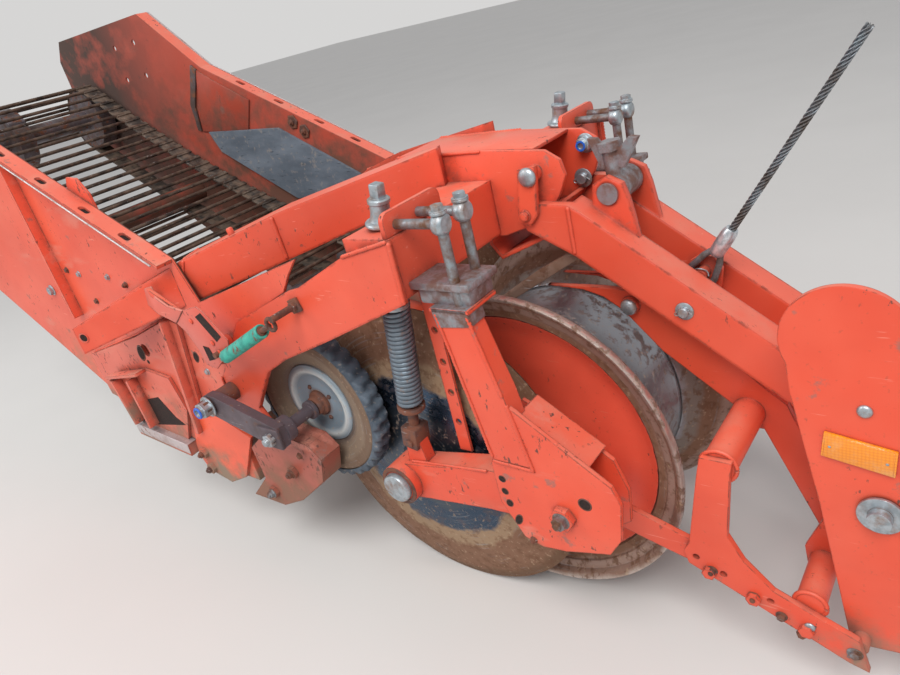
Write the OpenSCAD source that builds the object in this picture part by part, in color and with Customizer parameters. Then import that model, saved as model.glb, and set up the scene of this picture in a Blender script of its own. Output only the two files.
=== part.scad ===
// Lifting unit of a one-row trailed potato harvester.
// X points forward, Y to the machine's left and Z up, in millimetres.
// The origin is the axis of the rear web drive shaft, in the mid-plane.
// Sided pieces are drawn on the near (right-hand, negative Y) side and mirrored.
// An "out" distance is measured from the mid-plane towards the near side.

/* [Channel] */
// Inside width between the two side walls
channel_w = 650; // [620:5:700]
// Thickness of the side wall sheet
wall_t = 6; // [4:1:8]
// Width of the flange along the top of a side wall
flange_w = 40; // [30:1:50]
// Thickness of a rubber flap
flap_t = 8; // [5:1:10]

/* [Sieving web] */
// Diameter of one web rod
rod_d = 11; // [9:0.5:13]
// Distance from one web rod to the next along the belts
rod_pitch = 44; // [40:1:52]
// Width of each web belt
belt_w = 62; // [50:1:75]
// Radius from the rear shaft to the rod centres
rear_drum_r = 105; // [95:1:112]
// Radius from the front shaft to the rod centres
front_drum_r = 55; // [48:1:60]

/* [Beams] */
// Side of the square outrigger tube
outrigger_tube = 95; // [85:1:100]
// Thickness of the diagonal cross beam, seen from above
cross_beam_w = 60; // [50:1:66]
// Width of one upper arm
arm_w = 50; // [40:1:54]

/* [Ground wheels] */
// Radius of the dished cutting disc
disc_r = 315; // [295:1:322]
// Depth of the dish of the cutting disc
disc_dish = 34; // [20:1:38]
// Radius of the haulm wheel over its lugs
haulm_r = 170; // [155:1:175]
// Width of the haulm wheel
haulm_w = 45; // [36:1:48]
// Number of rubber lugs round the haulm wheel
haulm_lugs = 36; // [24:1:40]
// Largest radius of the depth roller
roller_r = 305; // [290:1:315]
// Waist radius of the depth roller
roller_waist_r = 215; // [180:1:235]

/* [Springs] */
// Outside diameter of the pressure spring
spring_d = 48; // [42:1:54]
// Number of coils of the pressure spring
spring_coils = 22; // [16:1:24]

/* [Hidden] */
// Main widths, as out distances
wall_in = channel_w / 2;
wall_out = wall_in + wall_t;
plate_out = wall_out + 10;
carrier_out = plate_out + 8;
shoe_out = carrier_out + 8;
flange_out = wall_in + flange_w;

// Shafts of the web, as X and Z
rear_shaft = [0, 0];
front_shaft = [1120, -505];
shaft_bore_r = 20;

// Diagonal cross beam, as distance along the beam and Z
cross_start = [979, wall_in + 75];
cross_yaw = 24.1;
cross_outline = [[0, -360], [340, -246], [576, -186], [900, -126],
                 [900, -195], [568, -278], [230, -361], [0, -423]];

// Outrigger tube
tube_front_x = 1905;
tube_top_z = -191;
tube_bottom_z = tube_top_z - outrigger_tube;
box_half = 66;

// Swing arm with the cutting disc
pivot = [2100, -644];
disc_hub = [1749, -682];
swing_out = wall_in - 45;
swing_w = 46;
pivot_r = 15;
disc_rim_out = swing_out - 74;
disc_face_out = disc_rim_out + disc_dish;
hub_in = swing_out - 19;
hub_len = 61;
hub_r = 40;
disc_shaft_r = 22;
running = 0.05;

// Pressure spring: its axis runs up from the clevis pin through the outrigger tube
spring_foot = [1784, -598];
spring_tilt = atan2(74, 464);
spring_low = 81;
spring_high = 277;

// Haulm wheel on its flat arm
haulm_pivot = [1349, -528];
haulm_hub = [1532, -567];
haulm_in = wall_in - 73;
haulm_arm_in = wall_in + 57;
haulm_arm_t = 20;
haulm_shaft_r = 12.5;

// Depth frame, its roller and its spindle
cross_pin = [2495, -628];
roller_hub = [1922, -660];
axle_r = 17.5;
bracket_in = wall_in - 130;
roller_half = bracket_in - 23;
panel_in = bracket_in - 28;
panel_out = bracket_in - 20;
spindle_out = 14;
trunnion = [2104, -227];
spindle_eye = [2118, -415];
spindle_tilt = atan2(-14, 188);
arm_in = 59 - arm_w / 2;
arm_out = 59 + arm_w / 2;

// Flat plate between two out distances, its outline given as X and Z
module plate(from_out, to_out, outline) {
    translate([0, -from_out, 0])
        rotate([90, 0, 0])
            linear_extrude(to_out - from_out)
                polygon(outline);
}

// Round bar along Y between two out distances
module bar(at, from_out, to_out, r) {
    translate([at[0], -from_out, at[1]])
        rotate([90, 0, 0])
            cylinder(h = to_out - from_out, r = r, $fn = 64);
}

// Hexagon nut or bolt head along Y, given by its width across the flats
module hexagon(at, from_out, to_out, flats) {
    translate([at[0], -from_out, at[1]])
        rotate([90, 0, 0])
            cylinder(h = to_out - from_out, r = flats / sqrt(3), $fn = 6);
}

// Ring or dish turned about an axis along Y, from a profile of radius and out distance
module turned(at, profile) {
    translate([at[0], 0, at[1]])
        rotate([90, 0, 0])
            rotate_extrude($fn = 96)
                polygon(profile);
}

// Children on the near side, or mirrored to the far side
module handed(far) {
    if (far)
        mirror([0, 1, 0]) children();
    else
        children();
}

// Children along the tilted axis of the pressure spring, from its foot upwards
module on_spring_axis(s) {
    translate([spring_foot[0], -swing_out, spring_foot[1]])
        rotate([0, spring_tilt, 0])
            translate([0, 0, s])
                children();
}

// Solid of the diagonal cross beam, ended at the side of the centre box
module cross_beam_solid() {
    difference() {
        translate([cross_start[0], -cross_start[1], 0])
            rotate([0, 0, cross_yaw])
                rotate([90, 0, 0])
                    linear_extrude(cross_beam_w)
                        polygon(cross_outline);
        translate([1000, -box_half, -600])
            cube([1500, 600, 800]);
        translate([tube_front_x - outrigger_tube, -wall_out, tube_bottom_z])
            cube([outrigger_tube, wall_out - box_half, outrigger_tube]);
    }
}

// Top line of a side wall from the rear to the front, as X and Z
wall_top = [[-100, 262], [430, 262], [653, 77], [1300, -239]];
wall_lip = 7;
flange_slots = [790, 930, 1070, 1190];
wall_bolts = [[240, 90], [360, 90], [240, 190], [360, 190]];

module side_wall() {
    color("orangered")
    difference() {
        union() {
            plate(wall_in, wall_out, concat([[-150, -110], [-150, 200]], wall_top,
                [[1335, -331], [1500, -282], [1682, -227], [1648, -259], [1621, -291], [1500, -345],
                 [1445, -431], [1361, -461], [1193, -371], [1136, -674], [724, -644],
                 [-60, -170]]));
            plate(wall_out, flange_out, concat(wall_top,
                [for (i = [3:-1:0]) [wall_top[i][0] - 3, wall_top[i][1] - wall_lip]]));
            plate(wall_out, wall_out + 24, [[754, 19], [766, 13], [766, -406], [754, -406]]);
        }
        cross_beam_solid();
        for (at = [rear_shaft, front_shaft])
            bar(at, wall_in - 1, wall_out + 1, at[0] == 0 ? 32 : 20);
        for (x = flange_slots)
            translate([x, -wall_out - 17, 0])
                for (dx = [-9, 9])
                    translate([dx, 0, -450])
                        cylinder(h = 900, r = 6, $fn = 32);
        for (x = flange_slots)
            translate([x - 9, -wall_out - 23, -450])
                cube([18, 12, 900]);
        for (at = wall_bolts)
            bar(at, wall_in - 1, wall_out + 1, 8.5);
    }
}

module flap() {
    color("dimgray")
    plate(wall_in - flap_t, wall_in, [[595, -109], [924, -125], [1201, -272],
        [1100, -318], [917, -332], [625, -172]]);
}

// Web path: point on a curve with three control points, and its unit normal
function bend(a, b, c, t) = a * (1 - t) * (1 - t) + b * 2 * t * (1 - t) + c * t * t;
function slope(a, b, c, t) = (b - a) * (1 - t) + (c - b) * t;
function left_of(v) = [-v[1], v[0]] / norm(v);
function on_arc(at, r, angle) = [at + r * [cos(angle), sin(angle)], [cos(angle), sin(angle)]];

top_start = rear_shaft + rear_drum_r * [cos(56.4), sin(56.4)];
top_end = front_shaft + front_drum_r * [cos(71), sin(71)];
top_dip = [567, -251];
low_start = front_shaft + front_drum_r * [cos(251), sin(251)];
low_end = rear_shaft + rear_drum_r * [cos(225), sin(225)];
low_dip = [540, -470];
top_steps = round(norm(top_end - top_start) * 1.02 / rod_pitch);
low_steps = round(norm(low_end - low_start) * 1.03 / rod_pitch);
front_steps = round(PI * front_drum_r / rod_pitch);
rear_steps = round(PI * rear_drum_r * 168.6 / 180 / rod_pitch);

// The belts are flat between rods, so a drum fits inside the middle of each flat
belt_half_t = 6.5;
rear_drum_fit = (rear_drum_r - belt_half_t) * cos(168.6 / rear_steps / 2) - 0.3;
front_drum_fit = (front_drum_r - belt_half_t) * cos(180 / front_steps / 2) - 0.3;
belt_out = wall_in - 44;

// Each entry is a point of the loop and the outward normal there
web_path = concat(
    [for (i = [0:top_steps - 1]) let (t = i / top_steps)
        [bend(top_start, top_dip, top_end, t), left_of(slope(top_start, top_dip, top_end, t))]],
    [for (i = [0:front_steps - 1]) on_arc(front_shaft, front_drum_r, 71 - i * 180 / front_steps)],
    [for (i = [0:low_steps - 1]) let (t = i / low_steps)
        [bend(low_start, low_dip, low_end, t), left_of(slope(low_start, low_dip, low_end, t))]],
    [for (i = [0:rear_steps - 1]) on_arc(rear_shaft, rear_drum_r, 225 - i * 168.6 / rear_steps)]);

module web_drive_shaft() {
    color("darkslategray")
    difference() {
        union() {
            bar(rear_shaft, -wall_out - 24, wall_out + 24, 30);
            for (s = [-1, 1]) {
                bar(rear_shaft, s > 0 ? wall_out : -wall_out - 12,
                    s > 0 ? wall_out + 12 : -wall_out, 62);
            }
            for (y = [-1, 0, 1])
                bar(rear_shaft, y * belt_out - 26, y * belt_out + 26, rear_drum_fit);
        }
        bar(rear_shaft, -wall_out - 30, wall_out + 30, shaft_bore_r);
    }
}

module web_front_shaft() {
    color("darkslategray") {
        bar(front_shaft, -wall_out, wall_out, 20);
        for (y = [-1, 0, 1])
            bar(front_shaft, y * belt_out - 26, y * belt_out + 26, front_drum_fit);
    }
}

module sieving_web() {
    color("saddlebrown") {
        for (y = [-1, 0, 1])
            translate([0, y * belt_out + belt_w / 2, 0])
                rotate([90, 0, 0])
                    linear_extrude(belt_w)
                        difference() {
                            polygon([for (p = web_path) p[0] + belt_half_t * p[1]]);
                            polygon([for (p = web_path) p[0] - belt_half_t * p[1]]);
                        }
        for (p = web_path)
            translate([p[0][0], wall_in - 14, p[0][1]])
                rotate([90, 0, 0])
                    cylinder(h = 2 * wall_in - 28, d = rod_d, $fn = 8);
    }
}

module channel_cross_tubes() {
    color("orangered")
    for (at = [[420, -290], [820, -440]])
        bar(at, -wall_in, wall_in, 30);
}

module lower_plate() {
    color("orangered") {
        difference() {
            plate(wall_out, plate_out, [[716, -523], [1010, -440], [1194, -376], [1231, -384],
                [1148, -705], [1083, -715], [724, -644]]);
            cross_beam_solid();
            bar([1034, -472], wall_out - 1, plate_out + 1, 16);
            for (x = [1069, 1100])
                bar([x, -627], wall_out - 1, plate_out + 1, 7);
        }
        plate(plate_out, plate_out + 8, [[832, -559], [1000, -525], [1100, -534], [1120, -619],
            [1062, -714], [865, -706]]);
        plate(plate_out - 10, plate_out + 24, [[848, -700], [1077, -717], [1074, -751],
            [845, -734]]);
    }
}

module cross_beam() {
    color("tomato")
    difference() {
        cross_beam_solid();
        translate([cross_start[0], -cross_start[1], 0])
            rotate([0, 0, cross_yaw])
                rotate([90, 0, 0])
                    translate([0, 0, 6])
                        linear_extrude(cross_beam_w - 12)
                            polygon([[-1, -368], [110, -331], [110, -387], [-1, -417]]);
    }
}

module centre_box() {
    color("orangered") {
        plate(-box_half, box_half, [[1705, -232], [1711, -142], [1896, -142], [2015, -149],
            [2040, -165], [2046, -190], [2030, -222], [2000, -262], [1914, -290],
            [1800, -290]]);
        plate(-box_half + 8, box_half - 8, [[1871, -284], [2000, -262], [2006, -290],
            [1890, -338], [1869, -310]]);
        for (s = [-1, 1])
            bar([1995, -182], s > 0 ? box_half : -arm_out - 14,
                s > 0 ? arm_out + 14 : -box_half, 12);
    }
}

outrigger_outline = [[1911, -191], [1805, -217], [1670, -278], [1640, -285], [1455, -360],
    [1402, -420], [1361, -461], [1325, -500], [1325, -556], [1375, -575], [1385, -640],
    [1438, -600], [1416, -561], [1463, -504], [1496, -465], [1570, -426], [1701, -375],
    [1911, -288]];

module outrigger() {
    color("orangered")
    difference() {
        union() {
            plate(wall_out, plate_out, outrigger_outline);
            translate([tube_front_x - outrigger_tube, -wall_out, tube_bottom_z])
                cube([outrigger_tube, wall_out - box_half, outrigger_tube]);
        }
        on_spring_axis(280)
            cylinder(h = 160, r = 13, $fn = 48);
    }
}

// Swing bolts at these out distances hold the leg's block against the outrigger tube
clamp_bolts = [swing_out - 27, swing_out + 25];
clamp_x = 1985;
clamp_eye_z = -157;

module clamp() {
    color("gray") {
        translate([tube_front_x - 12, -swing_out - 42, tube_top_z])
            cube([8, 117, 46]);
        for (out = clamp_bolts) {
            translate([tube_front_x - 16, -out, clamp_eye_z])
                rotate([0, 90, 0])
                    cylinder(h = clamp_x - tube_front_x + 16, r = 9, $fn = 32);
            translate([clamp_x - 11, -out, clamp_eye_z])
                rotate([0, 90, 0])
                    cylinder(h = 22, r = 17, $fn = 48);
            translate([clamp_x, -out, -266])
                cylinder(h = 130, r = 9, $fn = 32);
            translate([clamp_x, -out, -141])
                cylinder(h = 13, r = 14, $fn = 6);
        }
        translate([tube_front_x, -swing_out - 40, -300])
            cube([110, 75, 36]);
    }
}

fork_outline = [[2029, -451], [2157, -543], [2188, -565], [2199, -594], [2191, -662],
    [2169, -696], [2091, -719], [2047, -725], [2015, -715], [1982, -651], [1981, -574]];

module leg() {
    color("orangered") {
        plate(swing_out - 30, swing_out + 42, [[1938, -306], [2010, -306], [2010, -300], [1938, -300]]);
        plate(swing_out + 5, swing_out + 40, [[1944, -306], [1989, -562], [2057, -562],
            [2036, -440], [2001, -306]]);
        plate(swing_out + 30, swing_out + 38, fork_outline);
        plate(swing_out - 38, swing_out - 30, [[2014, -490], [2115, -542], [2159, -574],
            [2177, -626], [2173, -687], [2150, -704], [2091, -719], [2040, -722],
            [1995, -690], [1980, -610], [1990, -540]]);
        plate(swing_out - 38, swing_out + 30, [[2040, -500], [2140, -560], [2146, -554],
            [2040, -480]]);
        bar(pivot, swing_out - 48, swing_out + 46, pivot_r);
        for (s = [-1, 1])
            hexagon(pivot, s > 0 ? swing_out + 38 : swing_out - 50,
                s > 0 ? swing_out + 50 : swing_out - 38, 36);
    }
}

module guide_strip() {
    color("orangered")
    difference() {
        plate(swing_out - 33, swing_out - 28, [[1858, tube_bottom_z], [1884, tube_bottom_z], [1884, -622],
            [1858, -622]]);
        for (z = [-380, -440, -500, -560])
            bar([1871, z], swing_out - 34, swing_out - 27, 6);
    }
}

// Heights along the spring axis where washers just meet the tilted tube faces
adjuster_top = (tube_top_z - spring_foot[1] + 24 * sin(spring_tilt)) / cos(spring_tilt);
adjuster_low = (tube_bottom_z - spring_foot[1] - 18 * sin(spring_tilt)) / cos(spring_tilt);

module adjuster() {
    color("silver") {
        on_spring_axis(spring_high - 60)
            cylinder(h = adjuster_top + 40 - spring_high + 60, r = 12, $fn = 48);
        on_spring_axis(spring_high)
            cylinder(h = 8, r = 25, $fn = 48);
        on_spring_axis(adjuster_low - 14)
            cylinder(h = 14, r = 18, $fn = 6);
        on_spring_axis(adjuster_top)
            cylinder(h = 7, r = 24, $fn = 48);
        on_spring_axis(adjuster_top + 7)
            cylinder(h = 18, r = 20, $fn = 6);
        on_spring_axis(adjuster_top + 40)
            cylinder(h = 16, r = 17, $fn = 6);
    }
}

// Coils drawn as rings on a thin sleeve round the rod
coil_pitch = (spring_high - spring_low) / spring_coils;

module pressure_spring() {
    color("slategray")
    on_spring_axis(spring_low)
        rotate_extrude($fn = 48)
            polygon(concat([[spring_d / 2 - 8, 0]],
                [for (i = [0:spring_coils - 1]) each [
                    [spring_d / 2 - 5, i * coil_pitch],
                    [spring_d / 2, (i + 0.3) * coil_pitch],
                    [spring_d / 2, (i + 0.7) * coil_pitch]]],
                [[spring_d / 2 - 5, spring_high - spring_low],
                 [spring_d / 2 - 8, spring_high - spring_low]]));
}

module share_carrier() {
    color("darkorange") {
        plate(plate_out, carrier_out, [[1090, -722], [1128, -640], [1190, -625], [1250, -608],
            [1349, -646], [1260, -776], [1184, -812], [1100, -795], [1084, -755]]);
        for (at = [[1118, -739], [1125, -782]])
            hexagon(at, carrier_out, carrier_out + 10, 24);
        plate(wall_in, plate_out, [[1215, -700], [1300, -700], [1300, -780], [1215, -780]]);
    }
}

module digging_share() {
    color("dimgray")
    intersection() {
        plate(-wall_in, wall_in, [[1225, -690], [1500, -790], [1496, -800], [1222, -702]]);
        translate([0, 0, -1000])
            linear_extrude(500)
                polygon([[1200, -wall_in], [1340, -wall_in], [1470, 0], [1340, wall_in],
                    [1200, wall_in]]);
    }
}

module skid_shoe() {
    color("orangered") {
        plate(wall_in - 20, shoe_out, [[1352, -665], [1385, -640], [1438, -600], [1560, -612],
            [1588, -640], [1568, -698], [1472, -773], [1393, -811], [1284, -812],
            [1357, -746]]);
        for (at = [[1481, -694], [1378, -775]])
            hexagon(at, shoe_out, shoe_out + 9, 24);
    }
}

module haulm_post() {
    color("dimgray") {
        bar(haulm_pivot, plate_out, haulm_arm_in - 0.4, 20);
        bar(haulm_pivot, haulm_arm_in - 1, haulm_arm_in + haulm_arm_t + 16, 10);
        bar(haulm_pivot, haulm_arm_in + haulm_arm_t + 0.4, haulm_arm_in + haulm_arm_t + 4, 18);
        hexagon(haulm_pivot, haulm_arm_in + haulm_arm_t + 4, haulm_arm_in + haulm_arm_t + 18,
            30);
    }
}

lever_in = wall_in + 47;

module latch_lever() {
    color("orangered") {
        plate(lever_in, lever_in + 8, [[1251, -283], [1300, -306], [1345, -328], [1401, -343],
            [1448, -405], [1430, -432], [1395, -437], [1362, -408], [1338, -362], [1318, -336],
            [1255, -298]]);
        bar([1410, -400], plate_out, lever_in, 12);
        bar([1399, -428], lever_in + 8, lever_in + 16, 9);
        bar([1395, -375], lever_in + 8, lever_in + 12, 9);
    }
}

// Tension spring from the lever to an eye bolt on the outrigger, as X and Z
latch_low = [1461, -406];
latch_high = [1647, -318];
latch_out = lever_in + 18;
latch_tilt = atan2(latch_high[0] - latch_low[0], latch_high[1] - latch_low[1]);

module latch_spring() {
    color("turquoise") {
        translate([latch_low[0], -latch_out, latch_low[1]])
            rotate([0, latch_tilt, 0])
                cylinder(h = norm(latch_high - latch_low), r = 14, $fn = 48);
        bar([1444, -414], lever_in + 8, latch_out + 10, 6);
        bar([1440, -412], latch_out - 4, latch_out + 4, 22);
        bar([1652, -315], plate_out, latch_out + 16, 9);
        hexagon([1652, -315], plate_out, plate_out + 14, 24);
    }
}

module upper_arm() {
    color("orangered")
    difference() {
        union() {
            plate(arm_in, arm_out, [[2052, -316], [2365, -539], [2468, -648], [2516, -602],
                [2351, -448], [2073, -245], [2052, -232]]);
            bar(cross_pin, arm_in, arm_out, 34);
            plate(box_half, arm_out, [[2052, -316], [2052, -232], [1985, -228], [1958, -250],
                [1972, -274]]);
            plate(arm_out - 1, arm_out + 8, [[1978, -170], [2011, -166], [2000, -245],
                [1984, -262], [1962, -258]]);
            plate(36, 48, [[2073, -260], [2150, -320], [2136, -238], [2128, -212],
                [2104, -200], [2080, -212]]);
        }
        plate(0, box_half, [[1940, -120], [2048, -120], [2048, -330], [1940, -330]]);
        bar(cross_pin, arm_in - 1, arm_out + 1, 15 + running);
        bar(trunnion, 35, 49, 17 + running);
        bar([1995, -182], arm_out - 1, arm_out + 9, 12 + running);
    }
}

module arm_cross_pin() {
    color("gray") {
        bar(cross_pin, -118, bracket_in + 1, 15);
        bar(cross_pin, panel_out + 3, panel_out + 7, 28);
        bar(cross_pin, -110, -102, 24);
    }
}

// Rope from its lug between the arms towards the lifting winch
rope_lug = [2221, -375];
rope_end = [2440, -49];
rope_len = norm(rope_end - rope_lug);
rope_tilt = atan2(rope_end[0] - rope_lug[0], rope_end[1] - rope_lug[1]);

module lift_rope() {
    color("silver") {
        bar([2221, -400], -arm_in, arm_in, 15);
        plate(-7, 7, [[2200, -398], [2242, -398], [2238, -365], [2221, -355], [2204, -365]]);
        translate([rope_lug[0], 0, rope_lug[1]])
            rotate([0, rope_tilt, 0]) {
                cylinder(h = rope_len, r = 6, $fn = 24);
                translate([0, 0, 40])
                    cylinder(h = 42, r = 11, $fn = 32);
            }
    }
}

module swing_arm() {
    color("orangered")
    difference() {
        union() {
            plate(swing_out - swing_w / 2, swing_out + swing_w / 2, [[1752, -644],
                [1815, -634], [1958, -606], [2090, -606], [2130, -625], [2130, -663],
                [2090, -684], [1943, -692], [1798, -712], [1752, -720]]);
            bar(pivot, swing_out - 28, swing_out + 28, 38);
            bar(disc_hub, hub_in, hub_in + hub_len, hub_r);
            plate(swing_out - 12, swing_out + 12, [[1760, -660], [1812, -660], [1800, -584],
                [1770, -584]]);
            on_spring_axis(0)
                cylinder(h = spring_low + 50, r = 8, $fn = 32);
            on_spring_axis(spring_low - 8)
                cylinder(h = 8, r = spring_d / 2, $fn = 48);
        }
        bar(pivot, swing_out - 40, swing_out + 40, pivot_r + running);
        bar(disc_hub, hub_in - 10, hub_in + hub_len + 1, disc_shaft_r + running);
    }
}

// Section of the dish: a flat centre round the hub's spigot, then evenly spaced radii
dish_steps = 6;
dish_flat_r = 50;
spigot_r = 30;
dish_radii = [for (i = [0:dish_steps]) dish_flat_r + (disc_r - dish_flat_r) * i / dish_steps];
function dish_out(r) = disc_rim_out
    + disc_dish * (1 - pow((r - dish_flat_r) / (disc_r - dish_flat_r), 2));

module disc() {
    color("peru")
    turned(disc_hub, concat(
        [[spigot_r, disc_face_out - 3], [spigot_r, disc_face_out + 3]],
        [for (r = dish_radii) [r, dish_out(r) + 3]],
        [for (i = [dish_steps:-1:0]) [dish_radii[i], dish_out(dish_radii[i]) - 3]]));
}

// Hub of the disc: spigot, flange against the dish, stub shaft in the arm and end cap
module disc_hub_shaft() {
    color("dimgray") {
        bar(disc_hub, disc_face_out - 5, disc_face_out + 3, spigot_r - running);
        bar(disc_hub, disc_face_out + 3, hub_in - 9, 48);
        bar(disc_hub, hub_in - 10, hub_in + hub_len + 3, disc_shaft_r);
        bar(disc_hub, hub_in + hub_len + 1, hub_in + hub_len + 12, 29);
    }
}

module haulm_arm() {
    color("dimgray")
    difference() {
        union() {
            plate(haulm_arm_in, haulm_arm_in + haulm_arm_t, [[1345, -505], [1372, -505],
                [1552, -545], [1552, -590], [1520, -592], [1340, -552], [1326, -535],
                [1328, -512]]);
            bar(haulm_hub, haulm_in - 6, haulm_arm_in + haulm_arm_t + 10, haulm_shaft_r);
            bar(haulm_hub, haulm_in - 14, haulm_in - 5, 20);
            bar(haulm_hub, haulm_in + haulm_w + 2, haulm_in + haulm_w + 10, 20);
            bar(haulm_hub, haulm_arm_in - 20, haulm_arm_in, 26);
        }
        bar(haulm_pivot, haulm_arm_in - 1, haulm_arm_in + haulm_arm_t + 1, 10 + running);
    }
}

module haulm_wheel() {
    color("dimgray")
    difference() {
        union() {
            turned(haulm_hub, [[0, haulm_in + 1], [26, haulm_in + 1], [26, haulm_in + 16],
                [haulm_r - 40, haulm_in + 16], [haulm_r - 28, haulm_in + 1],
                [haulm_r - 10, haulm_in], [haulm_r - 10, haulm_in + haulm_w - 6],
                [haulm_r - 16, haulm_in + haulm_w], [haulm_r - 50, haulm_in + haulm_w - 6],
                [60, haulm_in + haulm_w - 18], [30, haulm_in + haulm_w - 18],
                [30, haulm_in + haulm_w - 1], [0, haulm_in + haulm_w - 1]]);
            for (i = [0:haulm_lugs - 1])
                translate([haulm_hub[0], -haulm_in, haulm_hub[1]])
                    rotate([90, i * 360 / haulm_lugs, 0])
                        translate([haulm_r - 14, -6, 3])
                            cube([14, 12, haulm_w - 12]);
        }
        bar(haulm_hub, haulm_in - 1, haulm_in + haulm_w + 1, haulm_shaft_r + running);
    }
}

inner_plate = [[1966, -388], [2073, -387], [2141, -393], [2172, -410], [2231, -466],
    [2323, -546], [2351, -568], [2391, -670], [2430, -795], [2405, -812], [2313, -612],
    [2277, -586], [2163, -496], [2103, -427], [2070, -404], [2035, -393]];

module depth_frame() {
    color("orangered")
    difference() {
        union() {
            bar([2294, -590], -bracket_in, bracket_in, 25);
            bar([2413, -812], -bracket_in, bracket_in, 21);
            for (out = [spindle_out - 32.5, spindle_out + 22.5])
                plate(out, out + 10, inner_plate);
            for (out = [-100, 92])
                plate(out, out + 8, [[2464, -600], [2524, -600], [2536, -640], [2450, -835],
                    [2390, -835], [2385, -790]]);
            bar(spindle_eye, spindle_out + 32.5, spindle_out + 42, 15);
            bar(spindle_eye, spindle_out - 42, spindle_out - 32.5, 15);
        }
        bar(cross_pin, -120, 120, 15 + running);
    }
}

module depth_bracket() {
    color("orangered")
    difference() {
        union() {
            plate(bracket_in, bracket_in + 10, [[2271, -572], [2317, -572], [2313, -595],
                [2303, -711], [2325, -753], [2366, -797], [2479, -846], [2493, -902],
                [2467, -895], [2239, -787], [2233, -763], [2243, -743], [2264, -609]]);
            plate(bracket_in - 10, bracket_in, [[2262, -730], [2239, -747], [2138, -713],
                [1930, -630], [1898, -640], [1898, -682], [2132, -763], [2230, -790],
                [2262, -790]]);
            bar(roller_hub, bracket_in - 10, bracket_in, 32);
            hexagon(roller_hub, bracket_in, bracket_in + 6, 30);
            for (at = [[2272, -793], [2337, -821], [2411, -854]])
                hexagon(at, bracket_in + 10, bracket_in + 18, 19);
        }
        for (at = [[2252, -770], [2293, -790], [2361, -818]])
            bar(at, bracket_in - 11, bracket_in + 11, 5.5);
    }
}

module depth_panel() {
    color("orangered")
    difference() {
        union() {
            plate(panel_in, panel_out, [[2377, -357], [2528, -380], [2545, -459], [2580, -632],
                [2619, -862], [2477, -884], [2461, -867], [2422, -632], [2387, -459]]);
            bar([2450, -380], panel_in, panel_out, 76);
            bar([2478, -868], panel_out, bracket_in, 12);
        }
        bar(cross_pin, panel_in - 7, panel_out + 5, 15 + running);
    }
}

module reflector() {
    color("red")
    plate(panel_out, panel_out + 6, [[2428, -510], [2424, -548], [2509, -563], [2511, -524]]);
}

module depth_axle() {
    color("dimgray")
    bar(roller_hub, 10 - bracket_in, bracket_in - 10, axle_r);
}

module depth_roller() {
    color("sienna")
    difference() {
        turned(roller_hub, [[0, 8 - bracket_in + 4], [46, 8 - bracket_in + 4], [46, -120],
            [roller_r - 62, -128], [roller_r - 8, -roller_half],
            [roller_r, -roller_half], [roller_r - 4, 22 - roller_half],
            [roller_waist_r + 8, -70], [roller_waist_r, -60], [roller_waist_r, 60],
            [roller_waist_r + 8, 70], [roller_r - 4, roller_half - 22],
            [roller_r, roller_half], [roller_r - 8, roller_half],
            [roller_r - 62, 128], [46, 120], [46, bracket_in - 12], [0, bracket_in - 12]]);
        bar(roller_hub, -bracket_in, bracket_in, axle_r + running);
    }
}

module depth_spindle() {
    color("silver") {
        bar(trunnion, -52, 52, 17);
        bar(trunnion, -31, 31, 23);
        plate(spindle_out - 6, spindle_out + 6, [[2066, -148], [2080, -150], [2094, -170],
            [2112, -170], [2134, -150], [2148, -152], [2122, -196], [2084, -196]]);
        translate([trunnion[0], -spindle_out, trunnion[1]])
            rotate([0, spindle_tilt + 180, 0]) {
                translate([0, 0, -62])
                    cylinder(h = 240, r = 13, $fn = 48);
                translate([0, 0, 60])
                    cylinder(h = 34, r = 15, $fn = 48);
                translate([0, 0, -72])
                    cylinder(h = 14, r = 20, $fn = 6);
            }
        bar(spindle_eye, spindle_out - 15, spindle_out + 15, 24);
    }
}

handed(false) side_wall();  // near_side_wall
handed(true) side_wall();  // far_side_wall
handed(false) flap();  // near_flap
handed(true) flap();  // far_flap
web_drive_shaft();
web_front_shaft();
sieving_web();
channel_cross_tubes();
handed(false) lower_plate();  // near_lower_plate
handed(true) lower_plate();  // far_lower_plate
handed(false) cross_beam();  // near_cross_beam
handed(true) cross_beam();  // far_cross_beam
centre_box();
handed(false) outrigger();  // near_outrigger
handed(true) outrigger();  // far_outrigger
handed(false) clamp();  // near_clamp
handed(true) clamp();  // far_clamp
handed(false) leg();  // near_leg
handed(true) leg();  // far_leg
handed(false) guide_strip();  // near_guide_strip
handed(true) guide_strip();  // far_guide_strip
handed(false) adjuster();  // near_adjuster
handed(true) adjuster();  // far_adjuster
handed(false) pressure_spring();  // near_spring
handed(true) pressure_spring();  // far_spring
digging_share();
handed(false) share_carrier();  // near_share_carrier
handed(true) share_carrier();  // far_share_carrier
handed(false) skid_shoe();  // near_skid_shoe
handed(true) skid_shoe();  // far_skid_shoe
handed(false) haulm_post();  // near_haulm_post
handed(true) haulm_post();  // far_haulm_post
latch_lever();
latch_spring();
handed(false) upper_arm();  // near_upper_arm
handed(true) upper_arm();  // far_upper_arm
arm_cross_pin();
lift_rope();
handed(false) swing_arm();  // near_swing_arm
handed(true) swing_arm();  // far_swing_arm
handed(false) disc();  // near_disc
handed(true) disc();  // far_disc
handed(false) disc_hub_shaft();  // near_disc_hub
handed(true) disc_hub_shaft();  // far_disc_hub
handed(false) haulm_arm();  // near_haulm_arm
handed(true) haulm_arm();  // far_haulm_arm
handed(false) haulm_wheel();  // near_haulm_wheel
handed(true) haulm_wheel();  // far_haulm_wheel
depth_frame();
handed(false) depth_bracket();  // near_depth_bracket
handed(true) depth_bracket();  // far_depth_bracket
depth_panel();
reflector();
depth_axle();
depth_roller();
depth_spindle();
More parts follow.
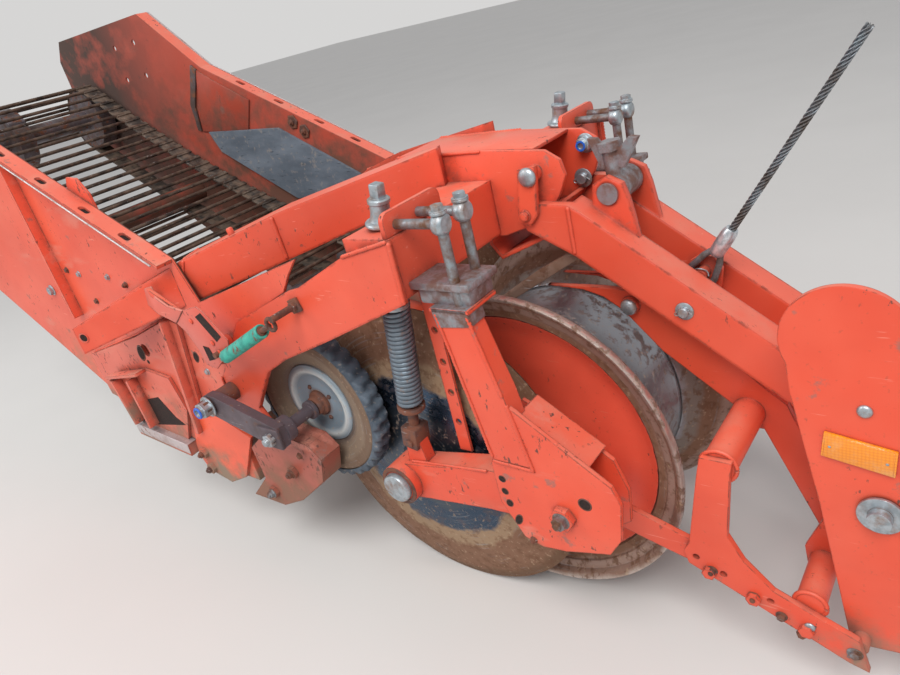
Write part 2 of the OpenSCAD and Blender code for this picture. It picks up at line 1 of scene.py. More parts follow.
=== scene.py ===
"""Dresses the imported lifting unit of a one-row potato harvester.

X points forward, Y to the machine's left and Z up, in metres; the sizes of the
pieces are written in millimetres and turned by MM. Sided pieces are drawn on
the near (negative Y) side, where "out" is the distance from the mid-plane.
"""
from __future__ import annotations

import logging
import math
from dataclasses import dataclass, field
from enum import Enum
from typing import Sequence

import bmesh
import bpy
from mathutils import Matrix, Vector, noise


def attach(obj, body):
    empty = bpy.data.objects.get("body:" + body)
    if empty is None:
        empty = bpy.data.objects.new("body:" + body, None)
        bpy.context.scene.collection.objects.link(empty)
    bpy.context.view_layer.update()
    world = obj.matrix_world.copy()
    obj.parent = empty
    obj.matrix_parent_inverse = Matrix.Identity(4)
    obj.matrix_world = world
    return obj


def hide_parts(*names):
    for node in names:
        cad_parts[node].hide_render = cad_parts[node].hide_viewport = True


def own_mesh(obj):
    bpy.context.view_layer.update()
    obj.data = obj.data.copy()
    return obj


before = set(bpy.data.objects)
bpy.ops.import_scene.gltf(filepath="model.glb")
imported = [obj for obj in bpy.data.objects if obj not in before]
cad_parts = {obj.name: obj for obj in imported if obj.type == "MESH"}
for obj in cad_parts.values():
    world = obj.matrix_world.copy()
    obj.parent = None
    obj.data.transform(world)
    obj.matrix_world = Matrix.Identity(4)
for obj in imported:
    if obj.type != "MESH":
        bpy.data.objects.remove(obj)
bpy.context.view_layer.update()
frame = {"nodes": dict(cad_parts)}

LOG = logging.getLogger("lifting_unit")
MM = 0.001
FULL_TURN = 2 * math.pi
Point = tuple[float, float, float]
Pair = tuple[float, float]
Profile = tuple[Pair, ...]
Plate = tuple[Profile, float, float, float]
Lines = tuple[tuple[tuple[Point, ...], float], ...]
Socket = bpy.types.NodeSocket
Value = float | tuple | Socket

REAR_SHAFT: Pair = (0, 0)
FRONT_SHAFT: Pair = (1120, -505)
SWING_PIVOT: Pair = (2100, -644)
DISC_HUB: Pair = (1749, -682)
HAULM_HUB: Pair = (1532, -567)
ROLLER_HUB: Pair = (1922, -660)
SPRING_FOOT: Pair = (1784, -598)
SPRING_TILT = math.atan2(74, 464)
SWING_OUT = 280


class Body(str, Enum):
    """Moving bodies of the part that new pieces ride on."""

    FRAME = "lifting_frame"
    CARRIAGE = "depth_carriage"
    ROLLER = "ridge_roller"
    NEAR_SWING = "near_arm_swing"
    FAR_SWING = "far_arm_swing"
    NEAR_DISC = "near_cutting_disc"
    FAR_DISC = "far_cutting_disc"
    NEAR_LEVER = "near_haulm_lever"
    FAR_LEVER = "far_haulm_lever"
    NEAR_WHEEL = "near_haulm_roller"
    FAR_WHEEL = "far_haulm_roller"


class Side(Enum):
    """Side of the machine, with the sign of its out direction along Y."""

    NEAR = -1
    FAR = 1

    @property
    def word(self) -> str:
        """Name of the side as the nodes spell it."""
        return self.name.lower()

    @property
    def look(self) -> Vector:
        """Direction out of the machine on this side."""
        return Vector((0, self.value, 0))

    def body(self, kind: str) -> Body:
        """Body of this side whose name ends in kind."""
        return Body(f"{self.word}_{kind}")


def srgb(code: str, alpha: float = 1.0) -> tuple[float, float, float, float]:
    """Turn a hex colour into linear red, green, blue and alpha.

    Args:
        code: Six hex digits after a hash.
        alpha: Opacity.

    Returns:
        Four numbers from 0 to 1.
    """
    out = []
    for i in (1, 3, 5):
        c = int(code[i:i + 2], 16) / 255
        out.append(c / 12.92 if c <= 0.04045 else ((c + 0.055) / 1.055) ** 2.4)
    return (*out, alpha)


def add_node(tree: bpy.types.NodeTree, kind: str, inputs: dict | None = None,
             **settings: object) -> bpy.types.Node:
    """Add a shader node with its settings and links.

    Args:
        tree: Node tree that receives the node.
        kind: Type name without its ShaderNode prefix.
        inputs: Input name or index to a value, or to the socket that feeds it.
        **settings: Properties of the node.

    Returns:
        The new node.
    """
    made = tree.nodes.new("ShaderNode" + kind)
    for key, value in settings.items():
        setattr(made, key, value)
    for key, value in (inputs or {}).items():
        if isinstance(value, bpy.types.NodeSocket):
            tree.links.new(value, made.inputs[key])
        else:
            made.inputs[key].default_value = value
    return made


@dataclass(frozen=True)
class Coat:
    """One layer of a finish: its colour, roughness, metal share and height."""

    color: str
    rough: float
    metal: float = 0.0
    lift: float = 0.0


class Surface:
    """A material whose coats are laid one over another by masks."""

    def __init__(self, name: str, ground: Coat, edge_mm: float = 2.0) -> None:
        """Start a material.

        Args:
            name: Name of the material.
            ground: Lowest coat, all over the piece.
            edge_mm: Radius by which sharp edges look rounded.
        """
        self.material = bpy.data.materials.new(name)
        self.material.use_nodes = True
        self.tree = self.material.node_tree
        self.tree.nodes.clear()
        self.place: Socket = add_node(self.tree, "TexCoord").outputs["Object"]
        self.flat: Socket = add_node(self.tree, "NewGeometry").outputs["Normal"]
        self.round: Socket = add_node(self.tree, "Bevel", {"Radius": edge_mm * MM},
                                      samples=4).outputs["Normal"]
        self.values: dict[str, Value] = {
            "color": srgb(ground.color), "rough": ground.rough,
            "metal": ground.metal, "lift": ground.lift}

    def lay(self, coat: Coat, mask: Socket) -> None:
        """Lay a coat where the mask is 1.

        Args:
            coat: Layer to add.
            mask: Socket with its share from 0 to 1.
        """
        over = {"color": srgb(coat.color), "rough": coat.rough, "metal": coat.metal,
                "lift": coat.lift}
        for key, value in over.items():
            below = self.values[key]
            if not isinstance(below, bpy.types.NodeSocket) and below == value:
                continue
            # places of the two mixed values and of the result among the sockets
            a, b, out = (6, 7, 2) if key == "color" else (2, 3, 0)
            made = add_node(self.tree, "Mix", {0: mask, a: below, b: value},
                            data_type="RGBA" if key == "color" else "FLOAT")
            self.values[key] = made.outputs[out]

    def patches(self, size_mm: float, level: float, soft: float = 0.05, detail: float = 5.0,
                stretch: Point = (1, 1, 1), offset: float = 0.0) -> Socket:
        """Irregular patches of one size.

        Args:
            size_mm: Width of a typical patch.
            level: Noise level above which a patch shows; 0.5 covers half.
            soft: Half width of the patch's blurred edge.
            detail: Octaves of finer noise.
            stretch: Scale along each axis, for streaks and scratches.
            offset: Shift that gives another pattern.

        Returns:
            Socket with the mask.
        """
        moved = add_node(self.tree, "Mapping", {
            "Vector": self.place, "Location": (offset, offset * 0.7, offset * 1.3),
            "Scale": stretch}).outputs[0]
        cloud = add_node(self.tree, "TexNoise", {
            "Vector": moved, "Scale": 1 / (size_mm * MM), "Detail": detail,
            "Roughness": 0.62}).outputs[0]
        return self.window(cloud, level - soft, level + soft)

    def window(self, value: Socket, low: float, high: float, top: float = 1.0) -> Socket:
        """Mask that rises from 0 at low to top at high.

        Args:
            value: Socket to look at.
            low: Value where the mask starts.
            high: Value where the mask is full.
            top: Largest share.

        Returns:
            Socket with the mask.
        """
        return add_node(self.tree, "MapRange", {
            "Value": value, "From Min": low, "From Max": high, "To Max": top}).outputs[0]

    def both(self, a: Socket, b: Socket | float) -> Socket:
        """Product of two masks."""
        return add_node(self.tree, "Math", {0: a, 1: b}, operation="MULTIPLY").outputs[0]

    def edges(self, strength: float = 1.0) -> Socket:
        """Mask of the outer edges, broken up as wear is.

        Args:
            strength: 1 wears nearly every edge, 0.3 only a few places.

        Returns:
            Socket with the mask.
        """
        turn = add_node(self.tree, "VectorMath", {0: self.flat, 1: self.round},
                        operation="DOT_PRODUCT").outputs["Value"]
        bent = self.window(turn, 0.985, 0.86)
        return self.both(bent, self.patches(26, 0.62 - 0.17 * strength, 0.05))

    def corner_shade(self, reach_mm: float = 30) -> Socket:
        """Mask of inner corners and gaps, from ambient occlusion broken into patches:
        painted shade.

        Args:
            reach_mm: How far from the corner it reaches.

        Returns:
            Socket with the mask.
        """
        open_share = add_node(self.tree, "AmbientOcclusion", {"Distance": reach_mm * MM},
                              samples=4).outputs["AO"]
        return self.both(self.window(open_share, 0.8, 0.4),
                         self.patches(28, 0.42, 0.14, 6, offset=31))

    def axis(self, name: str, socket: Socket | None = None) -> Socket:
        """One coordinate of the place, or of another vector, by its letter."""
        return add_node(self.tree, "SeparateXYZ",
                        {0: socket or self.place}).outputs[name]

    def above(self, low: float = 0.35, high: float = 0.95) -> Socket:
        """Mask of the faces that look up, where dust lies and where the paint is lightened
        as a painted highlight.
        """
        return self.window(self.axis("Z", self.flat), low, high)

    def below_height(self, top_mm: float, bottom_mm: float) -> Socket:
        """Mask that grows towards the ground with a ragged upper line.

        Args:
            top_mm: Height where it starts.
            bottom_mm: Height where it is full.

        Returns:
            Socket with the mask.
        """
        low = self.window(self.axis("Z"), top_mm * MM, bottom_mm * MM)
        ragged = self.patches(70, 0.5, 0.16, 7)
        total = add_node(self.tree, "Math", {0: low, 1: ragged},
                         operation="ADD").outputs[0]
        return self.both(self.window(total, 0.55, 1.35), self.window(low, 0.0, 0.3))

    def radius(self, hub: Pair) -> Socket:
        """Distance from an axis along Y, in metres.

        Args:
            hub: Place of the axis as X and Z in millimetres.

        Returns:
            Socket with the distance.
        """
        centred = add_node(self.tree, "Mapping", {
            "Vector": self.place, "Location": (-hub[0] * MM, 0, -hub[1] * MM),
            "Scale": (1, 0, 1)}).outputs[0]
        return add_node(self.tree, "VectorMath", {0: centred},
                        operation="LENGTH").outputs["Value"]

    def rings(self, hub: Pair, pitch_mm: float, level: float) -> Socket:
        """Turning marks: noise that changes only with the radius.

        Args:
            hub: Place of the axis as X and Z in millimetres.
            pitch_mm: Width of a typical mark.
            level: Noise level above which a mark shows.

        Returns:
            Socket with the mask.
        """
        cloud = add_node(self.tree, "TexNoise", {
            "W": self.radius(hub), "Scale": 1 / (pitch_mm * MM), "Detail": 3.0},
            noise_dimensions="1D").outputs[0]
        return self.window(cloud, level - 0.06, level + 0.1)

    def done(self, grain_mm: float = 3.0, grain: float = 0.25, depth_mm: float = 0.5,
             **shader: float) -> bpy.types.Material:
        """Close the material with its fine grain and its shader.

        Args:
            grain_mm: Size of the fine unevenness.
            grain: Its height as a share of a coat's.
            depth_mm: Height of a coat of lift 1.
            **shader: Constant inputs of the shader, with spaces as underscores.

        Returns:
            The finished material.
        """
        fine = add_node(self.tree, "TexNoise", {
            "Vector": self.place, "Scale": 1 / (grain_mm * MM), "Detail": 4.0}).outputs[0]
        height = add_node(self.tree, "Math", {0: fine, 1: grain, 2: self.values["lift"]},
                          operation="MULTIPLY_ADD").outputs[0]
        bump = add_node(self.tree, "Bump", {
            "Height": height, "Distance": depth_mm * MM, "Strength": 0.9,
            "Normal": self.round}).outputs[0]
        inputs = {"Base Color": self.values["color"], "Roughness": self.values["rough"],
                  "Metallic": self.values["metal"], "Normal": bump}
        inputs |= {key.replace("_", " "): value for key, value in shader.items()}
        made = add_node(self.tree, "BsdfPrincipled", inputs)
        add_node(self.tree, "OutputMaterial", {"Surface": made.outputs[0]})
        return self.material


SOIL = Coat("#8d7765", 0.95, 0.0, 0.5)
DUST = Coat("#c2a48f", 0.85, 0.0, 0.15)
SPLASHES = Coat("#a04a36", 0.7)
SCRATCHES = Coat("#f29b87", 0.55, 0, -0.2)
CHIPS = Coat("#6b4238", 0.75, 0, -0.6)
PRIMER = Coat("#8a6a60", 0.7)
RUBBED = Coat("#d98b78", 0.6, 0, -0.1)
# dark red-brown laid in inner corners and gaps as painted shade
PAINTED_SHADE = Coat("#7d3a2c", 0.8)
EDGE_RUST = Coat("#5c3a30", 0.8, 0, -0.3)


@dataclass(frozen=True)
class SprayedPaint:
    """Sprayed alkyd enamel on steel sheet, red-orange, as on farm machines.

    Its faces that look up are painted lighter as a painted highlight, its inner corners are
    darkened as painted shade, stones chip it to primer and rust along the edges, soil dries
    on it near the ground, and inside the web channel it is darkened as painted shade.
    """

    name: str
    fresh: str = "#e24d30"
    faded: str = "#ef765c"
    deep: str = "#c63f29"
    fade: float = 0.45
    wear: float = 0.45
    chips: float = 0.7
    mud_top_mm: float = -690
    mud_full_mm: float = -1030
    dust: float = 0.25
    rub: float = 0.0
    soil_coat: Coat = SOIL
    channel_mm: float | None = None
    edge_mm: float = 3.2

    def material(self) -> bpy.types.Material:
        """Build the material.

        Returns:
            The finished material.
        """
        s = Surface(self.name, Coat(self.fresh, 0.34), self.edge_mm)
        s.lay(Coat(self.deep, 0.4), s.both(s.patches(240, 0.56, 0.16, 3), 0.6))
        s.lay(Coat(self.faded, 0.46), s.both(s.patches(190, 0.5, 0.22, 3, offset=3), 0.35))
        # faces that look up are painted lighter: painted highlight
        s.lay(Coat(self.faded, 0.5), s.both(s.above(), self.fade))
        # thin grime of dried splashes, 8 mm across, and dust in the lee of each edge
        s.lay(SPLASHES, s.both(s.patches(8, 0.66, 0.04, 6, offset=9), 0.35))
        s.lay(DUST, s.both(s.both(s.above(0.5, 1.0), s.patches(80, 0.55, 0.1, 7)),
                           self.dust))
        # scratches a millimetre wide show as 2 mm streaks at this distance
        s.lay(SCRATCHES, s.both(s.both(
            s.patches(4, 0.7, 0.02, 2, (0.07, 0.3, 1.0), 5),
            s.patches(90, 0.55, 0.04, 2, offset=12)), 0.5))
        # chips, 3 to 9 mm, in groups
        spots = s.both(s.patches(9, self.chips - 0.055, 0.014, 4, (1, 1, 0.5), 1),
                       s.patches(90, 0.62 - 0.07 * self.wear, 0.03, 3, offset=7))
        s.lay(CHIPS, spots)
        s.lay(PRIMER, s.both(
            s.patches(45, 0.7 - 0.04 * self.wear, 0.03, 9, offset=21), 0.7))
        if self.rub:
            s.lay(RUBBED, s.both(
                s.patches(60, 0.66 - 0.1 * self.rub, 0.05, 8, (0.3, 1, 1), 4), 0.5))
        # inner corners and gaps darkened from ambient occlusion: painted shade
        s.lay(PAINTED_SHADE, s.both(s.corner_shade(), 0.9))
        s.lay(EDGE_RUST, s.edges(self.wear + 0.2))
        s.lay(self.soil_coat, s.below_height(self.mud_top_mm, self.mud_full_mm))
        # faces inside the web channel get painted shade and soil
        if self.channel_mm is not None:
            self._shade_and_soil_channel(s, self.channel_mm)
        return s.done(grain_mm=2.5, grain=0.1, depth_mm=0.3)

    @staticmethod
    def _shade_and_soil_channel(s: Surface, half_mm: float) -> None:
        """Darken the faces inside the web channel with painted shade, and lay caked soil on
        them that darkens towards the rear as soil and painted shade both.

        Args:
            s: Surface to lay them on.
            half_mm: Half the width of the channel.
        """
        off_centre = add_node(s.tree, "Math", {0: s.axis("Y")},
                              operation="ABSOLUTE").outputs[0]
        inside = s.window(off_centre, (half_mm + 1) * MM, half_mm * MM)
        # inner faces painted a darker red: painted shade
        s.lay(Coat("#9a4232", 0.6), s.both(inside, 0.7))
        s.lay(Coat("#6b4536", 0.9, 0, 0.3), s.both(inside, s.below_height(120, -420)))
        # dark brown towards the rear of the channel: soil and painted shade
        rear = s.both(inside, s.window(s.axis("X"), 0.56, 0.14))
        s.lay(Coat("#4d3b34", 0.9, 0, 0.3), s.both(
            s.patches(120, 0.4, 0.12, 8, offset=17), rear))


@dataclass(frozen=True)
class RolledSteel:
    """Bare rolled or forged steel with a thin film of rust and some polish."""

    name: str
    clean: str = "#7d757a"
    film: str = "#5a4a45"
    rust: str = "#7b4a31"
    metal: float = 0.75
    shine: float = 0.38
    filmed: float = 0.5
    rusted: float = 0.58
    soil: float = 0.0
    edge_shine: float = 0.6
    grain: float = 0.3

    def material(self) -> bpy.types.Material:
        """Build the material.

        Returns:
            The finished material.
        """
        s = Surface(self.name, Coat(self.clean, self.shine, self.metal))
        s.lay(Coat(self.film, 0.6, self.metal * 0.5, 0.1),
              s.patches(60, self.filmed, 0.1, 6))
        s.lay(Coat(self.rust, 0.85, 0.05, 0.4),
              s.patches(22, self.rusted, 0.05, 7, offset=4))
        s.lay(Coat(self.clean, self.shine * 0.8, self.metal), s.both(
            s.edges(1.0), self.edge_shine))
        s.lay(Coat("#a9a4a2", 0.35, self.metal, -0.3), s.both(
            s.patches(4, 0.7, 0.03, 2, (0.08, 0.4, 1.0), 2), 0.7))
        if self.soil:
            s.lay(SOIL, s.both(s.patches(35, 0.5, 0.08, 8, offset=6), self.soil))
        return s.done(grain_mm=2.0, grain=self.grain, depth_mm=0.4)


@dataclass(frozen=True)
class ZincPlate:
    """Electroplated zinc on bolts and screws: blue-grey, dull, with red-brown stains."""

    name: str
    clean: str = "#b3bcc2"
    stain: str = "#8d7466"
    stained: float = 0.58
    shine: float = 0.36

    def material(self) -> bpy.types.Material:
        """Build the material.

        Returns:
            The finished material.
        """
        s = Surface(self.name, Coat(self.clean, self.shine, 0.8), 1.2)
        s.lay(Coat("#98a2a8", 0.45, 0.8), s.patches(12, 0.54, 0.1, 4))
        s.lay(Coat(self.stain, 0.65, 0.35, 0.1), s.patches(24, self.stained, 0.1, 7,
                                                           offset=3))
        return s.done(grain_mm=1.2, grain=0.25, depth_mm=0.2)


@dataclass(frozen=True)
class GroundSteel:
    """Steel that turns in soil: rings of polish, tan dust and rust about its hub."""

    name: str
    hub: Pair
    rings: tuple[tuple[float, Coat], ...]
    ragged_mm: float = 16
    rust: float = 0.55

    def material(self) -> bpy.types.Material:
        """Build the material.

        Returns:
            The finished material.
        """
        s = Surface(self.name, self.rings[0][1], 1.5)
        wander = add_node(s.tree, "TexNoise", {
            "Vector": s.place, "Scale": 14.0, "Detail": 6.0, "Roughness": 0.65}).outputs[0]
        far = add_node(s.tree, "Math", {
            0: wander, 1: 4 * self.ragged_mm * MM, 2: s.radius(self.hub)},
            operation="MULTIPLY_ADD").outputs[0]
        shift = 2 * self.ragged_mm
        for start, coat in self.rings[1:]:
            s.lay(coat, s.window(far, (start + shift - 5) * MM, (start + shift + 5) * MM))
        s.lay(Coat("#6d4a33", 0.85, 0.0, 0.4), s.both(
            s.patches(18, self.rust, 0.05, 8, offset=2),
            s.window(s.radius(self.hub), 0.10, 0.26, 0.85)))
        s.lay(Coat("#b59b80", 0.9, 0.0, 0.3), s.both(
            s.patches(9, 0.63, 0.05, 6, offset=8), 0.6))
        s.lay(Coat("#9da3a8", 0.35, 0.75, -0.1), s.both(s.both(
            s.rings(self.hub, 5, 0.6), s.patches(70, 0.57, 0.06, 4, offset=5)), 0.35))
        return s.done(grain_mm=2.5, grain=0.4, depth_mm=0.6)


@dataclass(frozen=True)
class Rubber:
    """Moulded or sheet rubber: black, greyed by dust that lies in long smears."""

    name: str
    clean: str = "#4b5560"
    dusty: str = "#7d8790"
    amount: float = 0.5
    streak: Point = (0.3, 1.0, 1.0)

    def material(self) -> bpy.types.Material:
        """Build the material.

        Returns:
            The finished material.
        """
        s = Surface(self.name, Coat(self.clean, 0.55), 1.5)
        s.lay(Coat(self.dusty, 0.8), s.patches(60, 1 - self.amount, 0.12, 6, self.streak))
        s.lay(Coat("#a09488", 0.9, 0, 0.2), s.both(s.patches(14, 0.62, 0.05, 6, offset=3),
                                                    0.5))
        s.lay(Coat("#2f353b", 0.5, 0, -0.2), s.patches(
            5, 0.68, 0.03, 2, (0.1, 0.3, 1.0), 6))
        return s.done(grain_mm=1.5, grain=0.3, depth_mm=0.3)


def at(x: float, out: float, z: float, side: Side = Side.NEAR) -> Vector:
    """Point in metres from a place in millimetres on one side.

    Args:
        x: Distance forward.
        out: Distance from the mid-plane towards the side.
        z: Height.
        side: Side of the machine.

    Returns:
        The point in the frame of the part.
    """
    return Vector((x, side.value * out, z)) * MM


def angles(steps: int, count: int | None = None, start: float = 0.0) -> list[float]:
    """Angles in radians, each a step of a full turn from the one before.

    Args:
        steps: Steps in a full turn.
        count: How many angles, or one for each step.
        start: First angle.

    Returns:
        The angles.
    """
    return [start + i * FULL_TURN / steps for i in range(count or steps)]


def stand(point: Vector, direction: Vector, twist: float = 0.0) -> Matrix:
    """Placing matrix whose local Z looks along a direction.

    Args:
        point: Place in metres.
        direction: Where local Z points.
        twist: Turn about that direction, in radians.

    Returns:
        The matrix.
    """
    turn = direction.to_track_quat("Z", "Y").to_matrix().to_4x4()
    return Matrix.Translation(point) @ turn @ Matrix.Rotation(twist, 4, "Z")


def axle(hub: Pair, out: float, side: Side = Side.NEAR) -> Matrix:
    """Placing matrix on an axis along Y, looking out of the machine.

    Args:
        hub: Place of the axis as X and Z in millimetres.
        out: Distance from the mid-plane towards the side.
        side: Side of the machine.

    Returns:
        The matrix.
    """
    return stand(at(hub[0], out, hub[1], side), side.look)


def spring_axis(side: Side, s: float) -> Matrix:
    """Placing matrix on the axis of a pressure spring, looking up along it.

    Args:
        side: Side of the machine.
        s: Distance above the spring's foot in millimetres.

    Returns:
        The matrix.
    """
    foot = at(SPRING_FOOT[0], SWING_OUT, SPRING_FOOT[1], side)
    up = Vector((math.sin(SPRING_TILT), 0, math.cos(SPRING_TILT)))
    return stand(foot + up * s * MM, up)


class Form:
    """A mesh under construction, joined from parts that bmesh operators make."""

    def __init__(self) -> None:
        """Start an empty mesh."""
        self.bm = bmesh.new()

    def _join(self, part: bmesh.types.BMesh, place: Matrix | None = None) -> Form:
        """Move a finished part to its place and join it to the form.

        Args:
            part: The part, which is freed.
            place: Placing matrix.

        Returns:
            The form itself.
        """
        if place is not None:
            bmesh.ops.transform(part, matrix=place, verts=part.verts)
        bmesh.ops.recalc_face_normals(part, faces=part.faces)
        carrier = bpy.data.meshes.new("part")
        part.to_mesh(carrier)
        part.free()
        self.bm.from_mesh(carrier)
        bpy.data.meshes.remove(carrier)
        return self

    def lathe(self, profile: Sequence[Pair], place: Matrix, steps: int = 48) -> Form:
        """Turn a profile about local Z.

        Args:
            profile: Radius and height pairs, in millimetres.
            place: Placing matrix.
            steps: Faces round the turn.

        Returns:
            The form itself.
        """
        part = bmesh.new()
        verts = [part.verts.new((r * MM, 0, h * MM)) for r, h in profile]
        edges = [part.edges.new(pair) for pair in zip(verts, verts[1:])]
        bmesh.ops.spin(part, geom=verts + edges, cent=(0, 0, 0), axis=(0, 0, 1),
                       dvec=(0, 0, 0), angle=FULL_TURN, steps=steps, use_merge=True)
        bmesh.ops.remove_doubles(part, verts=part.verts, dist=1e-6)
        return self._join(part, place)

    def rod(self, a: Vector, b: Vector, r: float, steps: int = 16) -> Form:
        """Round bar.

        Args:
            a: One end, in metres.
            b: Other end.
            r: Radius in millimetres.
            steps: Faces round the bar.

        Returns:
            The form itself.
        """
        part = bmesh.new()
        bmesh.ops.create_cone(part, cap_ends=True, segments=steps, radius1=r * MM,
                              radius2=r * MM, depth=(b - a).length)
        return self._join(part, stand((a + b) / 2, b - a))

    def prism(self, outline: Sequence[Point], thickness: Vector,
              bevel_mm: float = 0.0) -> Form:
        """Plate of any outline.

        Args:
            outline: Points of one face, in metres.
            thickness: Direction and amount of its thickness.
            bevel_mm: Radius of the rounded edges.

        Returns:
            The form itself.
        """
        part = bmesh.new()
        face = part.faces.new([part.verts.new(p) for p in outline])
        made = bmesh.ops.extrude_face_region(part, geom=[face], use_keep_orig=True)
        bmesh.ops.translate(part, vec=thickness, verts=[
            v for v in made["geom"] if isinstance(v, bmesh.types.BMVert)])
        bmesh.ops.recalc_face_normals(part, faces=part.faces)
        if bevel_mm:
            self._round_edges(part, bevel_mm)
        return self._join(part)

    def plate(self, outline: Sequence[Pair], out: float, thickness: float,
              side: Side = Side.NEAR, bevel_mm: float = 0.0) -> Form:
        """Plate parallel to the mid-plane.

        Args:
            outline: Corners of one face, as X and Z in millimetres.
            out: Distance of that face from the mid-plane towards the side.
            thickness: Thickness out of the machine, or into it where negative.
            side: Side of the machine.
            bevel_mm: Radius of the rounded edges.

        Returns:
            The form itself.
        """
        return self.prism([at(x, out, z, side) for x, z in outline],
                          side.look * thickness * MM, bevel_mm)

    def block(self, size: Point, place: Matrix, bevel_mm: float) -> Form:
        """Rounded block.

        Args:
            size: Its size in millimetres.
            place: Placing matrix of its centre.
            bevel_mm: Radius of the rounded edges.

        Returns:
            The form itself.
        """
        part = bmesh.new()
        bmesh.ops.create_cube(part, size=1.0)
        bmesh.ops.scale(part, vec=Vector(size) * MM, verts=part.verts)
        self._round_edges(part, bevel_mm)
        return self._join(part, place)

    @staticmethod
    def _round_edges(part: bmesh.types.BMesh, bevel_mm: float) -> None:
        """Bevel every edge of a part by a radius in millimetres."""
        bmesh.ops.bevel(part, geom=part.edges[:], offset=bevel_mm * MM, affect="EDGES",
                        segments=2, profile=0.5, clamp_overlap=True, material=-1)

    def tube(self, path: Sequence[Vector], radii: Sequence[float] | float,
             steps: int = 8, closed: bool = False) -> Form:
        """Round tube along points.

        Args:
            path: Points in metres.
            radii: Radius at each point, or one for all, in millimetres.
            steps: Faces round the tube.
            closed: Joins the last point to the first.

        Returns:
            The form itself.
        """
        part = bmesh.new()
        rings = []
        count = len(path)
        up = Vector((0.13, 0.37, 0.92))  # a direction that no path starts along
        for i, point in enumerate(path):
            after = path[(i + 1) % count] if closed or i + 1 < count else point
            before = path[i - 1] if closed or i else point
            along = (after - before).normalized()
            side = (up - up.dot(along) * along).normalized()
            up = side
            across = along.cross(side)
            turn = Matrix((across, side, along)).transposed().to_4x4()
            r = radii if isinstance(radii, (int, float)) else radii[i]
            ring = bmesh.ops.create_circle(
                part, segments=steps, radius=r * MM,
                matrix=Matrix.Translation(point) @ turn)["verts"]
            rings.append(list({e for v in ring for e in v.link_edges}))
        for a, b in zip(rings, rings[1:] + rings[:1] if closed else rings[1:]):
            bmesh.ops.bridge_loops(part, edges=a + b)
        if not closed:
            for ring in (rings[0], rings[-1]):
                bmesh.ops.contextual_create(part, geom=ring)
        return self._join(part)

    def coil(self, radius: float, wire: float, pitch: float, turns: float,
             place: Matrix, steps: int = 20, section: int = 8) -> Form:
        """Helical wire about local Z, from height 0.

        Args:
            radius: Radius of the wire's centre line, in millimetres.
            wire: Radius of the wire.
            pitch: Rise of each turn.
            turns: Number of turns.
            place: Placing matrix.
            steps: Steps in each turn.
            section: Faces round the wire.

        Returns:
            The form itself.
        """
        part = bmesh.new()
        made = bmesh.ops.create_circle(
            part, segments=section, radius=wire * MM,
            matrix=Matrix.Translation((radius * MM, 0, 0)) @ Matrix.Rotation(
                math.pi / 2, 4, "X"))["verts"]
        first = list({e for v in made for e in v.link_edges})
        total = max(2, round(steps * turns))
        end = bmesh.ops.spin(part, geom=made + first, cent=(0, 0, 0), axis=(0, 0, 1),
                             dvec=(0, 0, pitch * MM * turns / total),
                             angle=FULL_TURN * turns, steps=total)["geom_last"]
        for ring in (first, [e for e in end if isinstance(e, bmesh.types.BMEdge)]):
            bmesh.ops.contextual_create(part, geom=ring)
        return self._join(part, place)

    def stamp(self, pattern: bpy.types.Mesh, place: Matrix) -> Form:
        """Add a copy of a ready mesh in its place.

        Args:
            pattern: Mesh to copy.
            place: Placing matrix.

        Returns:
            The form itself.
        """
        part = bmesh.new()
        part.from_mesh(pattern)
        return self._join(part, place)

    def mesh(self, name: str) -> bpy.types.Mesh:
        """Close the form as a mesh, with its normals outwards.

        Args:
            name: Name of the mesh.

        Returns:
            The new mesh.
        """
        bmesh.ops.recalc_face_normals(self.bm, faces=self.bm.faces)
        made = bpy.data.meshes.new(name)
        self.bm.to_mesh(made)
        self.bm.free()
        return made

    def piece(self, name: str, finish: str, slot: str, body: Body = Body.FRAME,
              replaces: Sequence[str] = (), smooth_deg: float = 38) -> bpy.types.Object:
        """Make the form a piece of the scene.

        Args:
            name: Name of the piece.
            finish: Name of its material.
            slot: Material slot name; not used.
            body: Body that it rides on.
            replaces: CAD nodes that it stands for.
            smooth_deg: Edges bent by less than this are shaded smooth.

        Returns:
            The new object.
        """
        mesh = self.mesh(name)
        mesh.materials.append(bpy.data.materials[finish])
        mesh.polygons.foreach_set("use_smooth", [True] * len(mesh.polygons))
        mesh.set_sharp_from_angle(angle=math.radians(smooth_deg))
        made = bpy.data.objects.new(name, mesh)
        bpy.context.scene.collection.objects.link(made)
        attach(made, body.value)
        if replaces:
            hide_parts(*replaces)
        LOG.info("%s: %d faces on %s", name, len(mesh.polygons), body.value)
        return made


class Head(Enum):
    """Kinds of fastener ends that show."""

    HEX = "hex"
    NUT = "nut"
    LOCKNUT = "locknut"
    DOME = "dome"
    PIN = "pin"
    RIVET = "rivet"
    SQUARE = "square"


FastenerTable = tuple[Body, str, tuple[tuple[Head, float, float, float, float], ...]]


